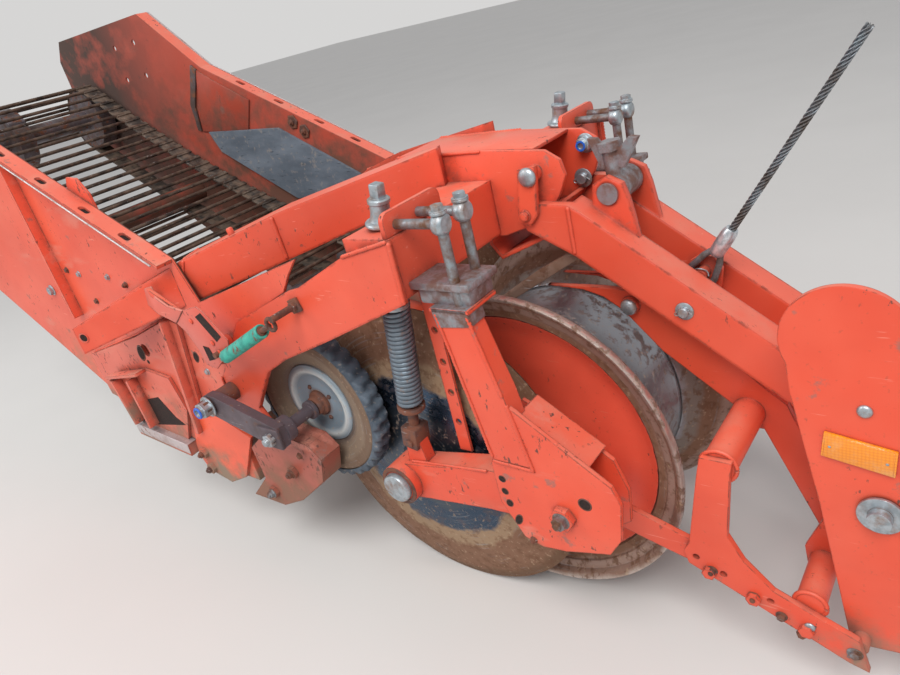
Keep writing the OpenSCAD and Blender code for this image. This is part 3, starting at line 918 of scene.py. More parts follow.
@dataclass
class FastenerShop:
    """Ready meshes of bolt heads, nuts, pins and rivets, for a thread of 10 mm."""

    meshes: dict[Head, bpy.types.Mesh] = field(default_factory=dict)
    flats: float = 13
    pin_hole_z: float = 4.2
    washer: Profile = ((3, 0), (9.4, 0), (9.6, 0.3), (9.6, 1.1), (9.2, 1.4), (3, 1.4))
    hexagons: dict[Head, Pair] = field(default_factory=lambda: {
        Head.HEX: (1.4, 7.2), Head.NUT: (1.4, 8.2), Head.LOCKNUT: (1.4, 9.0),
        Head.SQUARE: (4, 10)})
    turned: dict[Head, tuple[Profile, int]] = field(default_factory=lambda: {
        Head.HEX: (((0, 7.2), (4.9, 7.2), (4.6, 7.5), (0, 7.5)), 20),
        Head.NUT: (((0, 8), (3.9, 8), (3.9, 11), (3.4, 11.8), (0, 11.8)), 20),
        Head.LOCKNUT: (((0, 9), (5.3, 9), (5.3, 11.4), (4.6, 12), (3.4, 12), (3.4, 10.4),
                        (0, 10.4)), 24),
        Head.DOME: (((0, 0), (9, 0), (9.2, 1), (8.6, 2.6), (6.6, 4.1), (3.6, 5),
                     (0, 5.3)), 32),
        Head.PIN: (((0, 1.3), (6.2, 1.3), (6.2, 6.2), (5.4, 7.2), (0, 7.2)), 28),
        Head.RIVET: (((0, 0), (5, 0), (4.8, 1.2), (3.6, 2.2), (0, 2.7)), 16),
        Head.SQUARE: (((0, 10), (3.9, 10), (3.9, 13), (3.4, 13.8), (0, 13.8)), 20)})
    pin_washer: Profile = ((3, 0), (10.6, 0), (10.9, 0.3), (10.9, 1), (10.5, 1.3), (3, 1.3))

    def build(self) -> None:
        """Make every pattern, standing on z = 0."""
        here = Matrix.Identity(4)
        for head in Head:
            form = Form()
            if head in (Head.HEX, Head.NUT, Head.LOCKNUT):
                form.lathe(self.washer, here, 24)
            if head is Head.PIN:
                form.lathe(self.pin_washer, here, 32)
                self._cotter(form)
            if head is Head.SQUARE:
                form.block((21, 21, 4), Matrix.Translation((0, 0, 2 * MM)), 0.6)
            if head is Head.NUT:
                form.coil(3.9, 0.35, 1.2, 2.4, Matrix.Translation((0, 0, 8.4 * MM)), 14, 5)
            if head in self.hexagons:
                low, high = self.hexagons[head]
                corner = self.flats / math.sqrt(3)
                form.lathe([(0, low), (corner, low), (corner, high - 0.5),
                            (corner * 0.88, high), (0, high)], here, 6)
            profile, steps = self.turned[head]
            form.lathe(profile, here, steps)
            self.meshes[head] = form.mesh("pattern_" + head.value)

    def _cotter(self, form: Form) -> None:
        """Add the split pin of a pin's end, with its eye and its bent legs.

        Args:
            form: Mesh that grows.
        """
        z = self.pin_hole_z
        eye = [(-8.6 - 2.4 * math.cos(t), 2.2 * math.sin(t), z)
               for t in angles(14, 11, FULL_TURN / 7 + math.pi)]
        legs = [(-6, 0.6, z), (6.4, 0.6, z), (9.4, 3.2, z - 0.6)]
        other = [(-6, -0.6, z), (6.4, -0.6, z), (9.0, -4.4, z)]
        for path in (eye, legs, other):
            form.tube([Vector(p) * MM for p in path], 0.65, 6)


@dataclass
class FastenerRows:
    """Fasteners of one body and finish, gathered in one piece."""

    shop: FastenerShop
    forms: dict[tuple[Body, str], Form] = field(default_factory=dict)

    def put(self, head: Head, point: Vector, direction: Vector, size: float, body: Body,
            finish: str, twist: float = 0.3) -> None:
        """Set one fastener.

        Args:
            head: Kind of end.
            point: Seat of the fastener, in metres.
            direction: Where it looks.
            size: Thread diameter in millimetres, 10 for the pattern as it is.
            body: Body that it rides on.
            finish: Name of its material, or red_bolt for a painted bolt.
            twist: Turn about its own axis.
        """
        form = self.forms.setdefault((body, finish), Form())
        form.stamp(self.shop.meshes[head],
                   stand(point, direction, twist) @ Matrix.Scale(size / 10, 4))

    def build(self) -> None:
        """Make a piece of every gathered form."""
        for (body, finish), form in self.forms.items():
            slot = "zinc" if finish.startswith("zinc") else "worn_steel"
            paint = finish
            if finish == "red_bolt":
                slot, paint = "red_paint", "enamel_red_worn"
            form.piece(f"fasteners_{body.value}_{finish}", paint, slot, body)


class Palette:
    """Every finish of the unit, as materials that the pieces name."""

    def build(self) -> None:
        """Make the materials."""
        tan = Coat("#9a7f64", 0.85, 0.0, 0.35)
        rust = Coat("#84604a", 0.8, 0.15, 0.2)
        kinds = [
            SprayedPaint("enamel_red", mud_top_mm=-790, mud_full_mm=-1090),
            SprayedPaint("enamel_red_worn", wear=0.8, chips=0.68, rub=0.2, dust=0.3,
                         mud_top_mm=-660, mud_full_mm=-1000),
            SprayedPaint("enamel_red_wall", fresh="#e5573b", faded="#ee8068", wear=0.7,
                         chips=0.68, rub=0.3, dust=0.4, mud_top_mm=-430,
                         mud_full_mm=-860, soil_coat=Coat("#b07a68", 0.9, 0, 0.2),
                         channel_mm=327),
            SprayedPaint("enamel_red_tube", wear=0.15, chips=0.68, dust=0.3,
                         mud_top_mm=-760, mud_full_mm=-1050, edge_mm=8.0),
            SprayedPaint("enamel_red_scoured", fresh="#d85a42", faded="#e08b78", wear=1.1,
                         chips=0.65, rub=0.7, dust=0.5, mud_top_mm=-560,
                         mud_full_mm=-820, soil_coat=Coat("#94705f", 0.9, 0, 0.4)),
            # darker copy of the red enamel, with dark soil from high up: painted shade and
            # soil on the parts inside the channel
            SprayedPaint("enamel_red_shaded_inside", fresh="#ad3d2b", faded="#a8604a",
                         deep="#83382a", fade=0.2, wear=0.6, dust=0.3, chips=0.67,
                         mud_top_mm=120, mud_full_mm=-420,
                         soil_coat=Coat("#6b4536", 0.9, 0, 0.3)),
            # pale pink on the faces that look up: painted highlight
            SprayedPaint("enamel_red_lever", fresh="#cf5847", faded="#ea9384", fade=0.6,
                         wear=1.0, rub=0.6, dust=0.4),
            SprayedPaint("enamel_red_shoe", fresh="#b4503e", faded="#94604f",
                         deep="#7c4236", fade=0.3, wear=1.2, rub=0.3, chips=0.62,
                         dust=0.4, mud_top_mm=-640, mud_full_mm=-800,
                         soil_coat=Coat("#8a6250", 0.85, 0.1, 0.3)),
            # brighter red than the other enamel: painted light on the roller's dishes,
            # which sit in shade
            SprayedPaint("enamel_red_dish_lightened", fresh="#fb6147", faded="#fb775d", wear=0.2,
                         dust=0.05, mud_top_mm=-800, mud_full_mm=-1040),
            SprayedPaint("enamel_orange_new", fresh="#ee5a38", faded="#f2714f", wear=0.25,
                         chips=0.72, mud_top_mm=-690, mud_full_mm=-830),
            RolledSteel("steel_rolled"),
            RolledSteel("steel_phosphated", clean="#6a5f66", film="#574c50", rust="#6d4c3e",
                        metal=0.6, shine=0.45, rusted=0.63),
            RolledSteel("steel_rusty", clean="#6d5049", film="#573a30", rust="#774a38",
                        metal=0.35, shine=0.6, rusted=0.5, edge_shine=0.3),
            RolledSteel("steel_web", clean="#5f4a3d", film="#30251f", rust="#4a3024",
                        metal=0.5, shine=0.5, filmed=0.47, rusted=0.56, soil=0.35),
            RolledSteel("steel_belt", clean="#4e4a46", film="#2f2925", rust="#4f3b30",
                        metal=0.4, shine=0.55, soil=0.5),
            RolledSteel("steel_spring", clean="#7e8a94", film="#68727b", rust="#8b6c55",
                        metal=0.75, shine=0.34, rusted=0.66, edge_shine=0.0),
            RolledSteel("steel_share", clean="#8b8683", film="#6c5545", soil=0.5),
            ZincPlate("zinc_clear"),
            ZincPlate("zinc_rusty", clean="#8d8788", stain="#6b4936", stained=0.5,
                      shine=0.5),
            ZincPlate("zinc_clamp", clean="#a0989c", stain="#76584f", stained=0.5,
                      shine=0.42),
            RolledSteel("steel_scoured", clean="#cdc3c3", film="#b09c98", rust="#8f5f4e",
                        metal=0.7, shine=0.32, filmed=0.55, rusted=0.62),
            RolledSteel("steel_soil", clean="#8d7466", film="#7c5f4e", rust="#6b4a38",
                        metal=0.2, shine=0.6, rusted=0.6, edge_shine=0.2),
            ZincPlate("aluminium_ferrule", clean="#cfd3d8", stain="#9a9a9c", stained=0.64,
                      shine=0.3),
            ZincPlate("zinc_rope", clean="#8b9096", stain="#5f5650", stained=0.52,
                      shine=0.42),
            GroundSteel("steel_disc_soil", DISC_HUB, (
                (0, Coat("#4f5a66", 0.32, 0.85)), (118, Coat("#3f5166", 0.26, 0.9)),
                (178, tan), (214, rust), (292, Coat("#75563f", 0.7, 0.3, 0.1)))),
            GroundSteel("steel_roller_soil", ROLLER_HUB, (
                (0, Coat("#9a9ca2", 0.28, 0.85)), (222, Coat("#84776e", 0.45, 0.5, 0.1)),
                (246, rust), (272, Coat("#a08476", 0.5, 0.3, 0.0)),
                (288, Coat("#8d6d5c", 0.5, 0.3, 0.0)),
                (300, Coat("#cbbfb6", 0.3, 0.8, -0.3))), ragged_mm=6, rust=0.56),
            GroundSteel("steel_haulm_rim", HAULM_HUB, (
                (0, Coat("#83746a", 0.5, 0.6)), (96, Coat("#8b7866", 0.75, 0.2, 0.2)),
                (130, Coat("#7a6453", 0.8, 0.2, 0.2))), ragged_mm=9, rust=0.56),
            GroundSteel("zinc_haulm_dish", HAULM_HUB, (
                (0, Coat("#7a6259", 0.7, 0.2)), (31, Coat("#8fa0ac", 0.42, 0.35)),
                (69, Coat("#d6dbd9", 0.5, 0.3)), (79, Coat("#97a6b0", 0.45, 0.4))),
                ragged_mm=2, rust=0.7),
            Rubber("rubber_sheet", clean="#59636e", dusty="#737d88", amount=0.5),
            Rubber("rubber_tread", clean="#3f4a56", dusty="#68747f", amount=0.4,
                   streak=(1, 1, 1)),
        ]
        for kind in kinds:
            kind.material()
        for make in (self._turquoise, self._amber, self._nylon, self._shade):
            make()

    @staticmethod
    def _turquoise() -> bpy.types.Material:
        """Turquoise enamel on spring wire, rubbed to brown steel in bands.

        Returns:
            The finished material.
        """
        s = Surface("turquoise_paint", Coat("#3fa795", 0.42), 0.6)
        s.lay(Coat("#2f8c7f", 0.5), s.patches(20, 0.52, 0.1, 4))
        s.lay(Coat("#7c5c4c", 0.7, 0.3, -0.4), s.patches(14, 0.6, 0.03, 5, (1, 1, 0.4), 3))
        return s.done(grain_mm=1.5, grain=0.2, depth_mm=0.2)

    @staticmethod
    def _amber() -> bpy.types.Material:
        """Injection-moulded acrylic lens: clear amber with a prism grid behind it.

        Returns:
            The finished material.
        """
        s = Surface("acrylic_amber", Coat("#f79a14", 0.16), 0.8)
        grid = add_node(s.tree, "TexVoronoi", {"Vector": s.place, "Scale": 230.0,
                                               "Randomness": 0.0}).outputs["Distance"]
        s.lay(Coat("#e47f08", 0.2, 0, -0.6), s.window(grid, 0.3, 0.7))
        s.lay(Coat("#d9b07a", 0.7), s.both(s.patches(30, 0.6, 0.1, 6), 0.4))
        return s.done(grain_mm=1.0, grain=0.05, depth_mm=0.15, Coat_Weight=0.6)

    @staticmethod
    def _nylon() -> bpy.types.Material:
        """Blue nylon insert of a lock nut, dull with a little grease.

        Returns:
            The finished material.
        """
        s = Surface("nylon_blue", Coat("#2a63c4", 0.5), 0.5)
        s.lay(Coat("#1f3f77", 0.7), s.patches(5, 0.6, 0.08, 4))
        return s.done(grain_mm=1.0, grain=0.1, depth_mm=0.1)

    @staticmethod
    def _shade() -> bpy.types.Material:
        """Rusty steel deep inside a hole, where little light comes.

        Returns:
            The finished material.
        """
        s = Surface("shade_in_holes", Coat("#1b1210", 0.95), 0.3)
        s.lay(Coat("#33201a", 0.95), s.patches(4, 0.52, 0.1, 4))
        return s.done(grain_mm=1.0, grain=0.2, depth_mm=0.1)

    @staticmethod
    def dress(nodes: dict[str, bpy.types.Object]) -> None:
        """Give every CAD node that shows its finish, red enamel where none is named.

        Args:
            nodes: The CAD nodes by name.
        """
        by_word = {
            "side_wall": "enamel_red_wall", "flap": "rubber_sheet",
            "cross_beam": "enamel_red_tube", "outrigger": "enamel_red_tube",
            "upper_arm": "enamel_red_tube", "web_drive": "steel_rolled",
            "web_front": "steel_rolled", "lower_plate": "enamel_red_scoured",
            "leg": "enamel_red_worn", "guide_strip": "enamel_red_worn",
            "digging_share": "steel_share", "share_carrier": "enamel_orange_new",
            "skid_shoe": "enamel_red_shoe", "haulm_post": "steel_rusty",
            "latch_lever": "enamel_red_worn", "arm_cross_pin": "zinc_clear",
            "swing_arm": "enamel_red_worn", "haulm_arm": "steel_phosphated",
            "depth_axle": "steel_rolled", "depth_spindle": "zinc_clamp",
            "cross_tubes": "enamel_red_shaded_inside"}
        for name, obj in nodes.items():
            key = next((by_word[w] for w in by_word if w in name), "enamel_red")
            obj.data.materials.clear()
            obj.data.materials.append(bpy.data.materials[key])


@dataclass
class PressureSpring:
    """Compression spring of one swing arm, with its screw adjuster."""

    side: Side
    coils: int = 19
    end_turns: float = 1.5
    radius: float = 24
    wire: float = 4.2
    low: float = 81
    high: float = 277
    seat: float = 416
    travel_deg: float = 9
    slack: float = 2.5
    stud: Profile = ((0, 217), (11, 217), (11, 277), (24.5, 277), (24.5, 284), (11, 285),
                     (11, 318), (0, 318))
    collar: Profile = ((10, 0), (24, 0), (26, 2), (26, 5), (24.5, 7), (19, 8.5), (17, 13),
                       (15.5, 20), (15.2, 34), (17.5, 36), (17.5, 41), (15, 43), (0, 43))

    def build(self) -> None:
        """Build the spring and its adjuster."""
        word = self.side.word
        spring = Form()
        closed = 2 * self.wire + 0.2
        span = self.high - self.low - 2 * self.wire - 2 * self.end_turns * closed
        first = self.low + self.wire
        middle = first + self.end_turns * closed
        for s, pitch, turns, twist in (
                (first, closed, self.end_turns, 0),
                (middle, span / self.coils, self.coils, math.pi),
                (middle + span, closed, self.end_turns, math.pi)):
            spring.coil(self.radius - self.wire, self.wire, pitch, turns,
                        spring_axis(self.side, s) @ Matrix.Rotation(twist, 4, "Z"), 22)
        made = spring.piece(f"{word}_pressure_spring", "steel_spring", "spring_steel",
                            replaces=[f"{word}_spring"])
        self._squash(made)
        adjuster = Form()
        adjuster.lathe(self.stud, spring_axis(self.side, 0), 32)
        adjuster.lathe(self.collar, spring_axis(self.side, self.seat), 36)
        adjuster.block((18, 18, 24), spring_axis(self.side, self.seat + 53), 2.5)
        adjuster.piece(f"{word}_adjuster_screw", "zinc_clear", "zinc",
                       replaces=[f"{word}_adjuster"])

    def _squash(self, made: bpy.types.Object) -> None:
        """Work out the way the spring's foot travels, and give the spring a mesh of its
        own.

        Args:
            made: The spring.
        """
        foot, top = (spring_axis(self.side, s).translation
                     for s in (self.low, self.high + 8))
        pivot = at(SWING_PIVOT[0], SWING_OUT, SWING_PIVOT[1], self.side)
        turn = Matrix.Rotation(math.radians(self.travel_deg), 3, "Y")
        way = pivot + turn @ (foot - pivot) - foot
        way += way.normalized() * self.slack * MM
        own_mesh(made)


@dataclass
class LatchSpring:
    """Turquoise tension spring between the latch lever and an eye bolt."""

    low: Point = (1461, 390, -406)
    high: Point = (1647, 390, -318)
    wire: float = 2.3
    radius: float = 13.5
    gap: float = 0.9
    coiled_share: float = 0.80
    hook: Profile = ((1, 10), (-4, 4), (-10, 0), (-17, 1), (-20, 7), (-16, 13))
    cap: Profile = ((0, 0), (9, 0), (10, 2), (10, 8), (8, 10), (0, 10))

    def build(self) -> None:
        """Build the spring, its hooks and the eye bolt."""
        a, b = at(*self.low), at(*self.high)
        along = (b - a).normalized()
        length = (b - a).length / MM
        body = length * self.coiled_share
        turns = round(body / (2 * self.wire + self.gap))
        form = Form()
        form.coil(self.radius - self.wire, self.wire, body / turns, turns, stand(a, along),
                  18, 7)
        form.tube([a + along * MM * s + Vector((0, 0, 1)) * MM * h for s, h in self.hook],
                  self.wire)
        form.piece("latch_tension_spring", "turquoise_paint", "green_paint",
                   replaces=["latch_spring"])
        metal = Form()
        metal.rod(a + along * (body - 34) * MM, a + along * (length - 14) * MM, 5)
        across = Vector((0, 1, 0)).cross(along)
        metal.tube([b + (along * (11 * math.cos(t) - 6) + across * 11 * math.sin(t)) * MM
                    for t in angles(20)], 3.6, closed=True)
        metal.lathe(self.cap, stand(a + along * (body - 12) * MM, along), 18)
        for x, z, start, end in ((1658, -307, 341, 398), (1441, -402, 380, 400)):
            metal.rod(at(x, start, z), at(x, end, z), 6)
        metal.piece("latch_spring_eye_bolt", "steel_rusty", "worn_steel")


@dataclass
class LiftRope:
    """Wire rope of the lifting cylinder with its ferrule, lug and spring pin."""

    lug: Point = (2221, 0, -375)
    end: Point = (2440, 0, -49)
    strand: float = 2.3
    strands: int = 6
    lay_mm: float = 46
    start: float = 84
    ferrule: Profile = ((0, 38), (9, 38), (11.5, 41), (12, 46), (12, 74), (11.2, 82),
                        (9, 88), (0, 88))
    lug_outline: Profile = ((2176, -404), (2244, -404), (2248, -372), (2236, -352),
                            (2216, -349), (2198, -360))

    def build(self) -> None:
        """Build the rope and what it hangs in."""
        a, b = at(*self.lug), at(*self.end)
        along = (b - a).normalized()
        turns = ((b - a).length / MM - self.start) / self.lay_mm
        form = Form()
        begin = a + along * self.start * MM
        for t in angles(self.strands):
            form.coil(3.7, self.strand, self.lay_mm, turns,
                      stand(begin, along) @ Matrix.Rotation(t, 4, "Z"), 18, 6)
        form.rod(begin, b, 2.6, 8)
        form.tube(self._eye(a, along), 5.2, 10)
        form.piece("lift_rope_strands", "zinc_rope", "zinc", replaces=["lift_rope"])
        ferrule = Form()
        ferrule.lathe(self.ferrule, stand(a, along), 28)
        ferrule.piece("lift_rope_ferrule", "aluminium_ferrule", "zinc")
        lug = Form()
        lug.rod(at(2206, -33, -389), at(2206, 33, -389), 12, 24)
        lug.rod(a + Vector((0, -14, 0)) * MM, a + Vector((0, 22, 0)) * MM, 9.5, 24)
        lug.plate(self.lug_outline, -10, -10, bevel_mm=1.2)
        lug.piece("lift_rope_lug", "enamel_red", "red_paint")
        pin = Form()
        pin.tube([a + Vector((13 * math.cos(t), 2 * math.sin(3 * t) - 12, 13 * math.sin(t)))
                  * MM for t in angles(18, 15)], 1.2, 6)
        pin.piece("lift_rope_spring_pin", "zinc_clear", "zinc")

    @staticmethod
    def _eye(centre: Vector, along: Vector) -> list[Vector]:
        """Path of the rope's eye, from one side of the ferrule round to the other.

        Args:
            centre: Middle of the eye, in metres.
            along: Direction of the rope.

        Returns:
            Points in metres.
        """
        across = along.cross(Vector((0, 1, 0)))
        bow = [math.radians(-28 + 236 * i / 24) for i in range(25)]
        legs = [(46, 5), (28, 13.5)]
        return ([centre + along * s * MM + across * w * MM for s, w in legs]
                + [centre + (across * math.cos(t) - along * math.sin(t)) * 20 * MM
                   for t in bow]
                + [centre + along * s * MM - across * w * MM for s, w in reversed(legs)])


@dataclass
class HaulmWheel:
    """Haulm wheel: steel rim with a zinc dish and a wavy rubber tread."""

    side: Side
    inner: float = 252
    width: float = 45
    waves: int = 36
    crest: float = 1.9
    valley: float = 7.0
    rim: Profile = (
        (80, 12), (84, 21), (92, 25), (106, 30), (118, 34), (134, 38.5), (146, 40),
        (152, 38), (155, 34), (155, 6), (150, 1), (140, 1), (128, 4), (110, 14), (80, 12))
    dish: Profile = (
        (12.6, 22), (27, 22), (30, 23), (33, 22), (46, 20.5), (58, 21.5), (66, 24),
        (71, 27.5), (77, 28.5), (82, 27), (87, 26), (88, 23), (78, 19), (54, 12),
        (12.6, 14), (12.6, 22))
    hub: Profile = ((12.6, 20), (27, 20), (28, 23), (26.5, 28), (21, 31), (20, 41),
                    (18, 43.5), (12.6, 43.5), (12.6, 20))
    tread: Profile = ((154, 2), (162, 1), (166, 4), (167.5, 10), (168, 20), (167.5, 32),
                      (165, 38.5), (158, 41), (152, 40))

    def build(self) -> None:
        """Build rim, dish, hub bolts and tread."""
        word, body = self.side.word, self.side.body("haulm_roller")
        place = axle(HAULM_HUB, self.inner, self.side)
        rim, dish, hub = Form(), Form(), Form()
        rim.lathe(self.rim, place, 96)
        rim.piece(f"{word}_haulm_rim", "steel_haulm_rim", "tyre_rubber", body,
                  [f"{word}_haulm_wheel"])
        dish.lathe(self.dish, place, 96)
        dish.piece(f"{word}_haulm_dish", "zinc_haulm_dish", "zinc", body)
        hub.lathe(self.hub, place, 40)
        for t in angles(4, start=0.5):
            spot = Matrix.Translation(Vector((37 * math.cos(t), 37 * math.sin(t), 21)) * MM)
            hub.lathe([(0, 0), (5, 0), (5, 3), (3.6, 4.6), (0, 5)], place @ spot, 6)
        hub.piece(f"{word}_haulm_hub", "steel_rusty", "worn_steel", body)
        self._tread(place).piece(f"{word}_haulm_tread", "rubber_tread", "tyre_rubber", body,
                                 smooth_deg=60)

    def _tread(self, place: Matrix) -> Form:
        """Rubber band whose outside is pushed into waves across its width.

        Args:
            place: Placing matrix of the wheel.

        Returns:
            The band, in its place.
        """
        form = Form()
        form.lathe(self.tread, Matrix.Identity(4), self.waves * 8)
        for v in form.bm.verts:
            r = math.hypot(v.co.x, v.co.y)
            if r > 156 * MM:
                turn = math.atan2(v.co.y, v.co.x)
                bend = 0.22 * math.sin(v.co.z / (self.width * MM) * FULL_TURN * 0.9)
                wave = math.cos(self.waves * turn + 2.2 * bend * 6)
                depth = self.crest if wave > 0 else self.valley
                push = min(1.0, (r / MM - 156) / 8) * depth * wave
                v.co.xy *= (r + min(push, self.crest) * MM) / r
        bmesh.ops.transform(form.bm, matrix=place, verts=form.bm.verts)
        return form


@dataclass
class CuttingDisc:
    """Dished cutting disc on its hub, with a nicked rim and six bolts."""

    side: Side
    rows: FastenerRows
    rim_out: float = 206
    dish: float = 34
    radius: float = 315
    flat: float = 50
    thickness: float = 5
    steps: int = 26
    bolt_circle: float = 38

    def _out(self, r: float) -> float:
        """Out distance of the dish's middle surface at a radius."""
        past = max(0.0, r - self.flat) / (self.radius - self.flat)
        return self.rim_out + self.dish * (1 - past ** 2)

    def build(self) -> None:
        """Build the dish, its flange and the hub cap."""
        word, body = self.side.word, self.side.body("cutting_disc")
        place = axle(DISC_HUB, 0, self.side)
        rim, half = self.radius - 1.5, self.thickness / 2
        radii = [rim * i / self.steps for i in range(self.steps + 1)]
        outer = [(r, self._out(r) + half) for r in radii[:-1]]
        inner = [(r, self._out(r) - half) for r in reversed(radii)]
        edge = [(rim - back, self._out(rim) + h)
                for back, h in ((9, 2.6), (3, 1.2), (0, -0.6), (1, -2.2))]
        form = Form()
        form.lathe(outer + edge + inner, Matrix.Identity(4), 144)
        for v in form.bm.verts:
            if math.hypot(v.co.x, v.co.y) / MM > self.radius - 14:
                turn = math.atan2(v.co.y, v.co.x)
                nick = noise.noise(Vector((7 * math.cos(turn), 7 * math.sin(turn), 3)))
                v.co.xy *= 1 - 0.006 * max(0.0, nick)
        bmesh.ops.transform(form.bm, matrix=place, verts=form.bm.verts)
        face = self._out(0) + half
        form.lathe([(0, face - 1), (46, face - 1), (47.6, face + 1), (47.6, face + 8),
                    (45.5, face + 9.2), (24, face + 9.4), (22, face + 9.4), (22, 322),
                    (0, 322)], place)
        form.piece(f"{word}_disc_plate", "steel_disc_soil", "earth_steel", body,
                   [f"{word}_disc", f"{word}_disc_hub"])
        for t in angles(6):
            spot = Vector((self.bolt_circle * math.cos(t), self.bolt_circle * math.sin(t),
                           self._out(0) - half)) * MM
            self.rows.put(Head.DOME, place @ spot, -self.side.look, 8, body, "steel_rusty")


@dataclass
class RidgeRoller:
    """Waisted depth roller: two red dishes in a soil-polished steel shell."""

    shell: Profile = (
        (254, 141), (257, 147.5), (272, 150.5), (274, 154), (288, 158.5), (291, 163),
        (298, 170), (303.5, 171.6), (305, 168), (305, 160), (301, 152), (291, 144),
        (288, 138), (275, 124), (255, 104), (235, 84), (223, 70), (215, 58), (215, 50),
        (213.5, 46), (213.5, 0))
    lining: Profile = ((248, -118), (210, -48), (210, 48), (248, 118))
    dish: Profile = (
        (254, 145), (244, 138), (230, 130), (210, 126), (155, 122), (80, 121), (47, 121),
        (46, 178), (40, 182), (17.6, 182), (17.6, 116), (214, 118), (240, 128), (254, 137),
        (254, 145))

    def build(self) -> None:
        """Build the shell, its dishes and its hubs."""
        place = axle(ROLLER_HUB, 0)
        shell, dishes = Form(), Form()
        far_half = [(r, -h) for r, h in reversed(self.shell[:-1])]
        shell.lathe([*self.shell, *far_half, *self.lining, self.shell[0]], place, 128)
        shell.piece("ridge_roller_shell", "steel_roller_soil", "earth_steel", Body.ROLLER,
                    ["depth_roller"])
        for s in (1, -1):
            dishes.lathe([(r, h * s) for r, h in self.dish], place, 112)
        dishes.piece("ridge_roller_dishes", "enamel_red_dish_lightened", "red_paint", Body.ROLLER)


@dataclass
class SideReflector:
    """Amber reflector: a lens with a rim, riveted to the panel."""

    rows: FastenerRows
    corners: Profile = ((2428, -510), (2424, -548), (2509, -563), (2511, -524))
    rivets: Profile = ((2435, -531), (2500, -543))
    base_out: float = 175
    base_thickness: float = 4.8
    rivet_out: float = 180.4

    def build(self) -> None:
        """Build the lens and its two rivets."""
        form = Form()
        form.plate(self.corners, self.base_out, self.base_thickness, bevel_mm=1.0)
        base = [at(x, self.base_out, z) for x, z in self.corners]
        centre = sum(base, Vector()) / len(base)
        form.prism([centre + (p - centre) * 0.94 + Vector((0, -3.6 * MM, 0)) for p in base],
                   Vector((0, -2.2 * MM, 0)), 0.8)
        form.piece("side_reflector_lens", "acrylic_amber", "amber_lens", Body.CARRIAGE,
                   ["reflector"])
        for x, z in self.rivets:
            self.rows.put(Head.RIVET, at(x, self.rivet_out, z), Side.NEAR.look, 4.0,
                          Body.CARRIAGE, "zinc_clear")


@dataclass
class SievingWeb:
    """Rods of the sieving web with their flattened ends, on riveted rubber belts."""

    rear_r: float = 105
    front_r: float = 55
    pitch: float = 44
    rod_r: float = 5.2
    half: float = 311
    belt_out: float = 281
    belt: Pair = (54, 5)
    belt_depth: float = 3.2
    rod_end: Point = (17, 54, 5.5)

    @staticmethod
    def _arc(centre: Vector, r: float, deg: float) -> tuple[Vector, Vector]:
        """Point of a drum and its normal, at an angle from forward."""
        normal = Vector((math.cos(math.radians(deg)), math.sin(math.radians(deg))))
        return centre + normal * r, normal

    @staticmethod
    def _bend(a: Vector, b: Vector, c: Vector, t: float) -> tuple[Vector, Vector]:
        """Point of a sagging run and its normal.

        Args:
            a: Start of the run.
            b: Point towards which it sags.
            c: End of the run.
            t: Share of the run, from 0 to 1.

        Returns:
            The point and the outward normal.
        """
        point = a * (1 - t) ** 2 + b * 2 * t * (1 - t) + c * t * t
        way = (b - a) * (1 - t) + (c - b) * t
        return point, Vector((-way.y, way.x)).normalized()

    def _path(self) -> list[tuple[Vector, Vector]]:
        """Trace the loop.

        Returns:
            Its points with their outward normals, as X and Z in millimetres.
        """
        rear, front = Vector(REAR_SHAFT), Vector(FRONT_SHAFT)
        top = (self._arc(rear, self.rear_r, 56.4)[0], Vector((567, -251)),
               self._arc(front, self.front_r, 71)[0])
        low = (self._arc(front, self.front_r, 251)[0], Vector((540, -470)),
               self._arc(rear, self.rear_r, 225)[0])
        path = []
        for run, slack, drum, r, start, wrap in (
                (top, 1.02, front, self.front_r, 71, 180),
                (low, 1.03, rear, self.rear_r, 225, 168.6)):
            count = round((run[2] - run[0]).length * slack / self.pitch)
            path += [self._bend(*run, i / count) for i in range(count)]
            count = round(math.pi * r * wrap / 180 / self.pitch)
            path += [self._arc(drum, r, start - i * wrap / count) for i in range(count)]
        return path

    def build(self) -> None:
        """Build the rods, their ends and the belts."""
        path = self._path()
        rods, belts, ends = Form(), Form(), Form()
        reach = self.half - 26
        for p, n in path:
            rods.rod(at(p.x, -reach, p.y), at(p.x, reach, p.y), self.rod_r, 12)
            turn = Matrix((Vector((n.y, 0, -n.x)), Vector((0, 1, 0)),
                           Vector((n.x, 0, n.y)))).transposed().to_4x4()
            for s in (-1, 1):
                ends.block(self.rod_end, Matrix.Translation(at(p.x, s * (reach - 2), p.y))
                           @ turn @ Matrix.Translation((0, 0, 0.8 * MM)), 1.2)
        for s in (-1, 1):
            for (p, n), (q, _) in zip(path, path[1:] + path[:1]):
                a, b = (at(c.x, s * self.belt_out, c.y) for c in (p, q))
                flat = (b - a).normalized()
                up = flat.cross(Vector((0, 1, 0)))
                if up.dot(Vector((n.x, 0, n.y))) < 0:
                    up.negate()
                turn = Matrix((flat, up.cross(flat), up)).transposed().to_4x4()
                belts.block(((b - a).length / MM + 0.6, *self.belt),
                            Matrix.Translation((a + b) / 2 - up * self.belt_depth * MM)
                            @ turn, 0.4)
        rods.piece("sieving_web_rods", "steel_web", "web_steel", replaces=["sieving_web"])
        ends.piece("sieving_web_rod_ends", "steel_belt", "web_steel")
        belts.piece("sieving_web_belts", "steel_belt", "web_steel")


